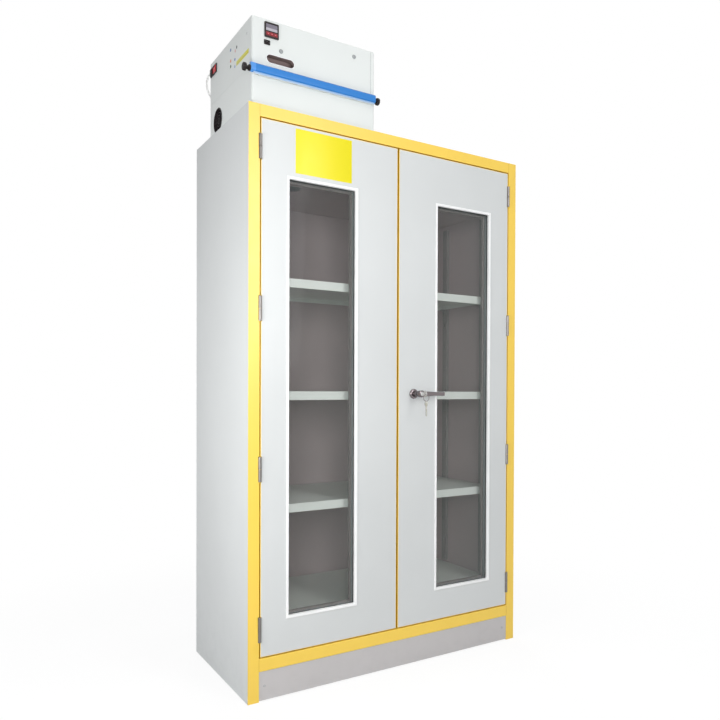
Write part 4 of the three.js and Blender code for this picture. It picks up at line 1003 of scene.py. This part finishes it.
class CABINET_OT_carcass(bpy.types.Operator):
    """Finish the outer sheets, frame and feet, and add screws, rivets and joint lines"""

    bl_idname = "cabinet.carcass"
    bl_label = "Carcass"

    # Height of each rail's middle and its joint's length
    RAILS = ((1930, 38), (121.5, 41))
    JOINT_X = 532
    SCREWS = ((-512, 51), (510, 54))
    HEAD_RADIUS, HEAD_HEIGHT = 4.2, 1.0
    RIVET_X, LOWEST_RIVET, RIVET_PITCH, RIVETS = 540, 60, 228, 9

    def execute(self, context):
        edge = sizes().sheet_edge / MM
        dress([*both("side_panel"), "back_panel", "top_panel"], "skin", edge)
        dress(["plinth_panel"], "plinth", edge)
        dress([*both("post"), "top_rail", "bottom_rail"], "frame", edge)
        dress(["base_pan", "exhaust_duct"], "zinc")
        self.screws()
        self.back_rivets()
        self.frame_joints()
        return {"FINISHED"}

    def frame_joints(self):
        """Sealed joint lines where the rails meet the posts."""
        lines = [
            plate([rounded(0.9, length, 0.3)], 0.25, 0.08, facing(at(x, 0, z), "-Y"))
            for x in (-self.JOINT_X, self.JOINT_X) for z, length in self.RAILS
        ]
        add_piece("frame_joint_lines", joined(lines), "joint")

    def screws(self):
        """Cross-head screws low on the plinth."""
        heads = [self.screw_head(at(x, 2.0, z)) for x, z in self.SCREWS]
        add_piece("plinth_screws", joined(heads), "zinc")

    def screw_head(self, centre):
        """A low raised head with a cross recess, standing on a front face."""
        radius, height = self.HEAD_RADIUS, self.HEAD_HEIGHT
        slot, reach = radius * 0.16, radius * 0.62
        arm = [(slot, slot), (reach, slot), (reach, -slot)]
        cross = []
        for _ in range(4):
            cross += arm
            arm = [(v, -u) for u, v in arm]
        loops = [circle(radius, sides=24), cross]
        return plate(loops, height, height * 0.3, facing(centre, "-Y"))

    def back_rivets(self):
        """Blind rivets along the back panel's two edges."""
        profile = [(0, 0.9), (1.4, 0.85), (2.6, 0.5), (3.3, 0.0), (0, 0.0)]
        heads = [
            lathe(profile, "y", at(x, DEPTH, self.LOWEST_RIVET + self.RIVET_PITCH * i), 16)
            for x in (-self.RIVET_X, self.RIVET_X) for i in range(self.RIVETS)
        ]
        add_piece("back_rivets", joined(heads), "zinc", 40)


# Inside


class CABINET_OT_inside(bpy.types.Operator):
    """Finish the lining, shelves and tray, and tape the lining's front edges"""

    bl_idname = "cabinet.inside"
    bl_label = "Inside"

    def execute(self, context):
        dress([*both("inner_wall"), "rear_inner_wall", "floor_board", "ceiling_board"], "board", 0.6)
        shelves = ["shelf_1", "shelf_2", "shelf_3", "spill_tray", "tray_cover"]
        dress(shelves, "shelf", sizes().sheet_edge / MM)
        uprights = [f"{side}_{i}" for side in both("shelf_upright") for i in (1, 2)]
        dress(uprights, "upright")
        dress(["frame_seal"], "seal")
        self.edge_bands()
        return {"FINISHED"}

    def edge_bands(self):
        """Grey tape on the front edges of the side boards."""
        x, y, z, width, height = 535.5, 47.9, 955, 62, 1560
        strips = [
            plate([rounded(width, height, 1)], *FILM, facing(at(side * x, y, z), "-Y"))
            for side, _ in DOORS
        ]
        add_piece("lining_edge_bands", joined(strips), "tape")


# Doors


class CABINET_OT_doors(bpy.types.Operator):
    """Finish both doors and add hinge barrels, gaskets and the label plate"""

    bl_idname = "cabinet.doors"
    bl_label = "Doors"

    BARREL_REACH, BARREL_GAP = 41.2, 0.45

    def execute(self, context):
        dress(both("door_leaf"), "edge")
        dress(both("door_skin"), "door_skin", 0.3)
        dress(both("window_trim"), "trim")
        dress(both("window_glass"), "glass")
        for side, name in DOORS:
            self.barrels(side, name)
            self.gaskets(side, name)
            self.inner_skin(side, name)
        self.label()
        return {"FINISHED"}

    def barrels(self, side, name):
        """Barrels over the knuckles: the lower ones on the frame, the upper on the door."""
        radius = sizes().barrel / MM
        reach, gap = self.BARREL_REACH, self.BARREL_GAP
        for body, low, high, part, cap, foot in (
            ("root", -reach, -gap, "lower", 0.3, 0.9),
            (f"{name}_door", gap, reach, "upper", 0.9, 0.3),
        ):
            profile = [
                (0, low), (radius - foot, low), (radius, low + foot), (radius, high - cap),
                (radius - cap, high), (0, high),
            ]
            turned = [lathe(profile, "z", at(side * HINGE_X, 0, z), 28) for z in HINGE_HEIGHTS]
            title = f"{name}_{part}_hinge_barrels"
            add_piece(title, joined(turned), "hinge", 40, body)

    def gaskets(self, side, name):
        """Dark glazing gasket inside the trim, a deeper dark band of painted shade on three sides, and
        the bead behind.
        """
        middle = at(side * WINDOW_X, 12.0, WINDOW_Z)
        where = facing(middle, "-Y")
        lip = plate([rounded(251.6, 1455.6, 1), rounded(247.6, 1451.6, 2)], 1.6, 0.5, where)
        # Painted shade: a dark band down the sides and across the top of the reveal, where shade falls;
        # the lit bottom has none
        x, z, wall = 125.8, 727.8, 1.1
        shaded_reveal_band = [
            (-x, -z), (-x + wall, -z), (-x + wall, z - wall), (x - wall, z - wall), (x - wall, -z),
            (x, -z), (x, z), (-x, z),
        ]
        gasket = joined([lip, plate([shaded_reveal_band], 3.5, 0.3, where)])
        back = facing(middle + Vector((0, 18.0, 0)) * MM, "+Y")
        bead = plate([rounded(243.6, 1447.6, 1), rounded(237, 1441, 2)], 2.5, 0.8, back)
        for part, mesh in (("gasket", gasket), ("bead", bead)):
            add_piece(f"{name}_glazing_{part}", mesh, part, body=f"{name}_door")

    def inner_skin(self, side, name):
        """Grey inner sheet on the back of the leaf, cut out for the window and the lock."""
        width, height, hinge_gap = 523, 1751, 3
        centre = HINGE_X - hinge_gap - width / 2
        where = facing(at(side * centre, 44.0, DOOR_Z), "+Y")
        window = (side * (centre - WINDOW_X), WINDOW_Z - DOOR_Z)
        loops = [rounded(width, height, 2), rounded(245, 1449, 3, window)]
        if side > 0:
            lock_x, lock_z = 70, 1010
            loops.append(rounded(60, 90, 4, (centre - lock_x, lock_z - DOOR_Z)))
        sheet = plate(loops, *FILM, where)
        add_piece(f"{name}_door_inner_skin", sheet, "skin", body=f"{name}_door")

    def label(self):
        """Bare yellow plate with softened edges, above the left window."""
        outline = rounded(sizes().label_width / MM, sizes().label_height / MM, 1.5)
        film = plate([outline], *FILM, facing(at(LABEL_X, 0.0, LABEL_Z), "-Y"))
        add_piece("label_plate", film, "label", body="left_door")


# Handle, lock and keys


class CABINET_OT_handle(bpy.types.Operator):
    """Make the lever handle, its rose, the lock and the keys"""

    bl_idname = "cabinet.handle"
    bl_label = "Handle and Lock"

    KEY_THICKNESS, KEY_EDGE = 2.4, 0.35
    KEY_X, RING_Y, RING_Z, RING_RADIUS = -1.2, -84, -14.2, 12

    def execute(self, context):
        self.lever()
        self.rose()
        dress(["lock_cylinder"], "steel")
        dress(["latch_pinion", "upper_latch_rod", "lower_latch_rod"], "zinc")
        self.keys()
        return {"FINISHED"}

    def lever(self):
        """Turned hub round the lock, a tapering bar with a rounded tip, and the square spindle."""
        hub = lathe([
            (8.36, -31.5), (8.36, -60), (11.2, -60), (12.1, -59.6), (12.5, -58.4), (12.5, -40.5),
            (12.0, -38.4), (10.9, -36.0), (9.9, -32.4), (9.4, -27), (9.25, -20), (9.4, -6), (9.6, -0.6),
            (4.4, -0.6), (4.4, -31.5), (8.36, -31.5),
        ], "y", HANDLE, 64)
        root_x, length, steps = 8.9, 103.1, 34
        rings = []
        for i in range(steps + 1):
            t = i / steps
            x = root_x + length * t
            near_tip = max(0.0, (t - 0.955) / 0.045)
            fade = math.sqrt(max(0.02, 1 - near_tip**2))
            waist = min(1.0, 0.76 + 0.07 * (x - root_x))
            thick = (8.5 - 3.5 * t) * fade
            tall = (10.5 - 3 * t - 1.5 * math.sin(math.pi * t)) * fade * waist
            middle = -48 + 4 * t * t
            section = superellipse(thick, tall, 2.9, 32)
            rings.append([on_handle(x, middle + u, v) for u, v in section])
        spindle = plate([rounded(8, 8, 0.6)], 40, 0.3, facing(on_handle(0, 40.5, 0), "-Y"))
        mesh = joined([hub, skin(rings), spindle])
        piece = add_piece("lever_handle", mesh, "chrome", 38, "handle")
        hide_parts("handle_lever")

    def rose(self):
        """Domed round plate under the lever."""
        mesh = lathe([
            (10.2, -0.3), (18, -0.3), (18, -4.2), (17.7, -5.4), (16.8, -6.6), (15.2, -7.6),
            (13.4, -8.3), (11.4, -8.5), (10.2, -8.3), (10.2, -0.3),
        ], "y", HANDLE, 64)
        piece = add_piece("handle_rose_plate", mesh, "chrome", 38, "right_door")
        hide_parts("handle_rose")

    def key(self, bow_radius, bow_at, blade_from, hole_at, place):
        """A flat key in its own plane: first axis along the blade, second across it."""
        half_blade = 4
        start = math.asin(half_blade / bow_radius)
        outline = []
        for i in range(29):
            a = start + (2 * math.pi - 2 * start) * i / 28
            flat = 1 - 0.06 * math.cos(3 * a) ** 2
            r = bow_radius * (flat if 4 < i < 24 else 1)
            outline.append((bow_at + r * math.cos(a), r * math.sin(a)))
        outline.append((blade_from, -half_blade))
        for i in range(5):
            cut = blade_from - 1.4 - i * 4.2
            deep = 2.2 + (i % 2)
            outline += [(cut, deep), (cut - 1.6, deep), (cut - 2.9, half_blade)]
        loops = [outline, circle(3.5, (hole_at, 0), 20)]
        return plate(loops, self.KEY_THICKNESS, self.KEY_EDGE, place)

    def keys(self):
        """The key in the lock, the split ring through it and the spare key that hangs there."""
        turn = Matrix(((0, 0, 1), (1, 0, 0), (0, 1, 0))).to_4x4()
        place = Matrix.Translation(on_handle(self.KEY_X, 0, 0)) @ turn
        mesh = self.key(12, -76, -37, self.RING_Y, place)
        piece = add_piece("door_key_piece", mesh, "steel", 35, "lock")
        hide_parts("door_key")
        down = Matrix(((0, 0, 1), (0, 1, 0), (-1, 0, 0))).to_4x4()
        place = Matrix.Translation(on_handle(self.KEY_X, self.RING_Y, -35.4)) @ down
        mesh = self.key(11, 0, 46, -7, place)
        piece = add_piece("spare_key_piece", mesh, "nickel", 35, "keys")
        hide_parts("spare_key")
        centre, r = on_handle(0, self.RING_Y, self.RING_Z), self.RING_RADIUS
        loop = [centre + Vector((r * math.cos(a), 0, r * math.sin(a))) * MM for a in turns(48)]
        ring = tube(loop, 1.0 * MM, 12, True)
        piece = add_piece("split_key_ring", ring, "chrome", 60, "keys")
        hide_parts("key_ring")


# Filter unit


class CABINET_OT_unit(bpy.types.Operator):
    """Finish the filter unit's housings, clamp bar, knobs and outlet"""

    bl_idname = "cabinet.unit"
    bl_label = "Filter Unit"

    BAR_Y = -7.3
    KNOB_Z = 107.5
    OUTLET_Y, OUTLET_Z = 338, 48.7
    WIRE_RADIUS = 1.1
    CAPS = ((100.5, 191.7), (375, 246.7))
    SEAM_X, SEAM_Z, SEAM_LENGTH = 443, 207, 149

    def execute(self, context):
        dress(["unit_body", "unit_hood"], "unit")
        self.bar()
        self.knob(-1, "left", -8, 14.3)
        self.knob(1, "right", 457, 5.0)
        self.grip()
        self.outlet()
        self.caps()
        return {"FINISHED"}

    def swept_bar(self, stations):
        """The bar's D section along the unit's front, scaled about its middle at each station."""
        radius, back = 7, -0.3
        section = []
        for start, z in ((90, BAR_HEIGHT - radius), (180, radius)):
            for i in range(9):
                a = math.radians(start + 90 * i / 8)
                section.append((back - radius + radius * math.cos(a), z + radius * math.sin(a)))
        section += [(back, 0), (back, BAR_HEIGHT)]
        middle = BAR_HEIGHT / 2
        return skin([
            [
                on_unit(x, self.BAR_Y + (y - self.BAR_Y) * k, BAR_Z + middle + (z - middle) * k)
                for y, z in section
            ]
            for x, k in stations
        ])

    def bar(self):
        """Blue bar of D section, with a paler sleeve at its left end and below it a film that carries a
        painted reflection of the bar.
        """
        bar = self.swept_bar(((-8, 0.94), (-7.4, 1.0), (456.4, 1.0), (457, 0.94)))
        piece = add_piece("clamp_bar_profile", bar, "bar")
        sleeve = self.swept_bar(
            ((-8.3, 0.9), (-7.8, 1.03), (-6.6, 1.05), (8.2, 1.05), (8.8, 1.03), (9.0, 0.99))
        )
        add_piece("clamp_bar_end_sleeve", sleeve, "bar_end")
        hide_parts("clamp_bar")
        # Thin film on the ledge under the bar: painted blue reflection of the bar, paler towards its
        # foot
        film = plate([rounded(449, REFLECTION_HEIGHT, 0.5)], 0.3, 0.1, facing(on_unit(228.5, -12, 95.9), "-Y"))
        add_piece("clamp_bar_seat_film", film, "seat_film")

    def knob(self, side, name, x, start):
        """Lobed hand knob with a domed face and a threaded stub; the left one has a collar."""
        centre = on_unit(x, self.BAR_Y, self.KNOB_Z)
        lobes, sides, lobe_depth = 8, 64, 1.7
        neck = [(0.3, 10.0), (5.4, 10.0), (6.3, 9.3), (6.8, 6.0)] if start > 10 else [(0.3, 6.0)]
        head = (
            (-0.8, 6.0, 0.0), (-0.2, 10.8, 0.4), (1.2, 12.6, 1.0), (3.0, 12.75, 1.0), (8.2, 12.75, 1.0),
            (9.8, 12.1, 0.9), (10.7, 10.6, 0.5), (11.0, 8.0, 0.1), (10.7, 4.0, 0.0), (10.4, 0.6, 0.0),
        )
        rings = []
        for s, radius, depth in [(s, r, 0.0) for s, r in neck] + [(start + s, r, d) for s, r, d in head]:
            ring = []
            for a in turns(sides):
                r = radius - max(0.0, math.cos(lobes * a)) ** 2 * lobe_depth * depth
                ring.append(centre + Vector((side * s, r * math.cos(a), r * math.sin(a))) * MM)
            rings.append(ring)
        knob = skin(rings)
        piece = add_piece(f"{name}_hand_knob", knob, "black", 35, f"{name}_knob")
        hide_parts(f"{name}_clamp_knob")
        low, high = sorted((side * -13.5, side * 0.5))
        stud = lathe([(0, low), (3, low), (3, high), (0, high)], "x", centre, 20)
        add_piece(f"{name}_knob_stud", stud, "zinc", 40, f"{name}_knob")

    def grip(self):
        """Dark lining of the finger recess, with painted shade towards its lower lip, and a thin pale
        rim on the housing's face.
        """

        def loop(width, height, out):
            outline = rounded(width, height, height / 2 - 0.05, steps=10)
            return [on_unit(GRIP_X + u, -out, GRIP_Z + v) for u, v in outline]

        rim = skin([
            loop(100.4, 30.4, 0.0), loop(100, 30, 0.5), loop(98.6, 28.6, 1.0),
            loop(96.6, 26.6, 0.7), loop(96.2, 26.2, -1.5),
        ], False)
        add_piece("grip_rim", rim, "trim")
        cup = skin([loop(96.4, 26.4, -0.6), loop(96, 26, -2.0), loop(95.9, 25.9, -23.4)], False)
        bottom = loop(96, 26, -23.3)
        floor = mesh_of(bottom, [tuple(range(len(bottom)))])
        add_piece("grip_lining", tidy(joined([cup, floor])), "grip")

    def outlet(self):
        """Round fan outlet: dark throat, wire guard and moulded rim."""
        centre = on_unit(0, self.OUTLET_Y, self.OUTLET_Z)
        throat = lathe([
            (45.0, 0.0), (45.0, -1.0), (44.5, -1.6), (43.1, -1.6), (42.2, -0.6), (42.2, 35.6),
            (42.4, 35.6), (42.4, 0.0), (45.0, 0.0),
        ], "x", centre, 64)
        back = lathe([(17.2, 71.7), (42.1, 71.7), (42.1, 71.4), (17.2, 71.4), (17.2, 71.7)], "x", centre)
        add_piece("outlet_throat", joined([throat, back]), "black", 35)
        wires = []
        for radius in (10, 20, 30, 39.8):
            loop = [
                centre + Vector((3.5, radius * math.cos(a), radius * math.sin(a))) * MM
                for a in turns(56)
            ]
            wires.append(tube(loop, self.WIRE_RADIUS * MM, 10, True))
        for turn in (0, 60, 120):
            a = math.radians(turn)
            way = Vector((0, math.cos(a), math.sin(a)))
            spoke = [centre + (Vector((4.2, 0, 0)) + way * s) * MM for s in (-41, -20, 0, 20, 41)]
            wires.append(tube(spoke, self.WIRE_RADIUS * MM, 10))
        piece = add_piece("outlet_guard", joined(wires), "black", 60)
        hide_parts("outlet_grille")
        dress(["fan_impeller"], "black")

    def caps(self):
        """Grey blanking caps and a seam on the hood's face."""
        profile = [(0, -3.6), (3.5, -3.5), (5.6, -3.1), (6.6, -2.3), (7.1, -1.4), (7.2, 0), (0, 0)]
        caps = [lathe(profile, "y", on_unit(x, 0, z), 36) for x, z in self.CAPS]
        add_piece("hood_blanking_caps", joined(caps), "disc", 40)
        where = facing(on_unit(self.SEAM_X, 0, self.SEAM_Z), "-Y")
        seam = plate([rounded(0.8, self.SEAM_LENGTH, 0.3)], 0.3, 0.1, where)
        add_piece("hood_seam", seam, "disc")


class CABINET_OT_switches(bpy.types.Operator):
    """Make the controller's face, the rockers' bezels and the plain markers"""

    bl_idname = "cabinet.switches"
    bl_label = "Switches"

    STRIP_Y, STRIP_Z = 86, 179.7
    EYELET_Y, EYELET_Z = 43, 240.7

    def execute(self, context):
        self.controller()
        self.bezels()
        self.markers()
        return {"FINISHED"}

    def controller(self):
        """Digital thermostat's face: unlit display, dark red band and three keys."""
        dress(["controller"], "bezel", 0.4)
        where = facing(on_unit(CONTROLLER_X, -3.05, CONTROLLER_Z + 8), "-Y")
        window = plate([rounded(39.4, 21.4, 1)], 0.7, 0.2, where)
        add_piece("controller_window", window, "display")
        low = CONTROLLER_Z - 13
        holes = [rounded(9.0, 7.0, 1.2, (u, 0)) for u in KEY_OFFSETS]
        where = facing(on_unit(CONTROLLER_X, -4.0, low), "-Y")
        band = plate([rounded(41, 12.4, 1.2), *holes], *FILM, where)
        add_piece("controller_key_band", band, "band")
        for i, u in enumerate(KEY_OFFSETS, 1):
            dress([f"controller_button_{i}"], "key", 0.4)
            where = facing(on_unit(CONTROLLER_X + u, -5.4, low), "-Y")
            mark = plate([rounded(3.6, 1.3, 0.5)], 0.2, 0.05, where)
            add_piece(f"key_{i}_mark", mark, "mark", body=f"button_{i}")

    def bezels(self):
        """Frames round both rockers, and the black cover behind the main one."""
        to_frame, to_cover = 10, 31.5
        outer = rounded(69, 32.6, 1.5)
        hole = rounded(40.0, 23.6, 1.0, (to_frame, 0))
        where = facing(on_unit(0, MAIN_SWITCH_Y + to_frame, MAIN_SWITCH_Z), "-X")
        rim = plate([outer, hole], 3.1, 0.5, where)
        where = facing(on_unit(0, MAIN_SWITCH_Y + to_cover, MAIN_SWITCH_Z), "-X")
        cover = plate([rounded(20, 25, 1.5)], 5.6, 0.8, where)
        add_piece("main_switch_bezel", joined([rim, cover]), "black")
        dress(["main_rocker"], "red", 0.5)
        loops = [rounded(20.6, 15.2, 1.2), rounded(15.4, 10.2, 0.6)]
        rim = plate(loops, 2.0, 0.4, facing(on_unit(*SMALL_SWITCH), "-Y"))
        add_piece("small_switch_bezel", rim, "black")
        dress(["small_rocker"], "black", 0.4)

    def markers(self):
        """Plain round markers and a bare yellow strip on the housing's left side."""
        for i, (y, z, _, radius) in enumerate(MARKERS, 1):
            where = facing(on_unit(0, y, z), "-X")
            film = plate([circle(radius, sides=28)], *FILM, where)
            add_piece(f"marker_{i}", film, f"marker_{i}")
        where = facing(on_unit(0, self.STRIP_Y, self.STRIP_Z), "-X")
        strip = plate([rounded(116, 15, 1)], *FILM, where)
        add_piece("yellow_marker_strip", strip, "strip")
        where = facing(on_unit(-0.5, self.STRIP_Y, self.STRIP_Z - 3.1), "-X")
        line = plate([rounded(112, 1.6, 0.5)], 0.15, 0.04, where)
        add_piece("marker_strip_line", line, "strip_line")
        profile = [(2.0, 0), (3.2, 0), (3.2, -0.8), (2.4, -1.1), (2.0, -0.4), (2.0, 0)]
        eyelet = lathe(profile, "x", on_unit(0, self.EYELET_Y, self.EYELET_Z), 24)
        add_piece("side_eyelet", eyelet, "zinc", 40)


class CABINET_PT_panel(bpy.types.Panel):
    """Lists the steps that dress the cabinet"""

    bl_idname = "CABINET_PT_panel"
    bl_label = "Safety Cabinet"
    bl_space_type = "VIEW_3D"
    bl_region_type = "UI"
    bl_category = "Cabinet"

    def draw(self, context):
        layout = self.layout
        for group in (context.scene.cabinet_colours, context.scene.cabinet_sizes):
            box = layout.box()
            for name in group.bl_rna.properties.keys():
                if name not in ("rna_type", "name"):
                    box.prop(group, name)
        for step in STEPS:
            layout.operator(step.bl_idname)


STEPS = (
    CABINET_OT_camera, CABINET_OT_cord, CABINET_OT_stage, CABINET_OT_carcass, CABINET_OT_inside,
    CABINET_OT_doors, CABINET_OT_handle, CABINET_OT_unit, CABINET_OT_switches,
)
CLASSES = (CabinetColours, CabinetSizes, *STEPS, CABINET_PT_panel)


def register():
    for cls in CLASSES:
        bpy.utils.register_class(cls)
    bpy.types.Scene.cabinet_colours = bpy.props.PointerProperty(type=CabinetColours)
    bpy.types.Scene.cabinet_sizes = bpy.props.PointerProperty(type=CabinetSizes)


def unregister():
    del bpy.types.Scene.cabinet_sizes
    del bpy.types.Scene.cabinet_colours
    for cls in reversed(CLASSES):
        bpy.utils.unregister_class(cls)


def main():
    register()
    for step in STEPS:
        group, name = step.bl_idname.split(".")
        getattr(getattr(bpy.ops, group), name)()


if __name__ == "__main__":
    main()
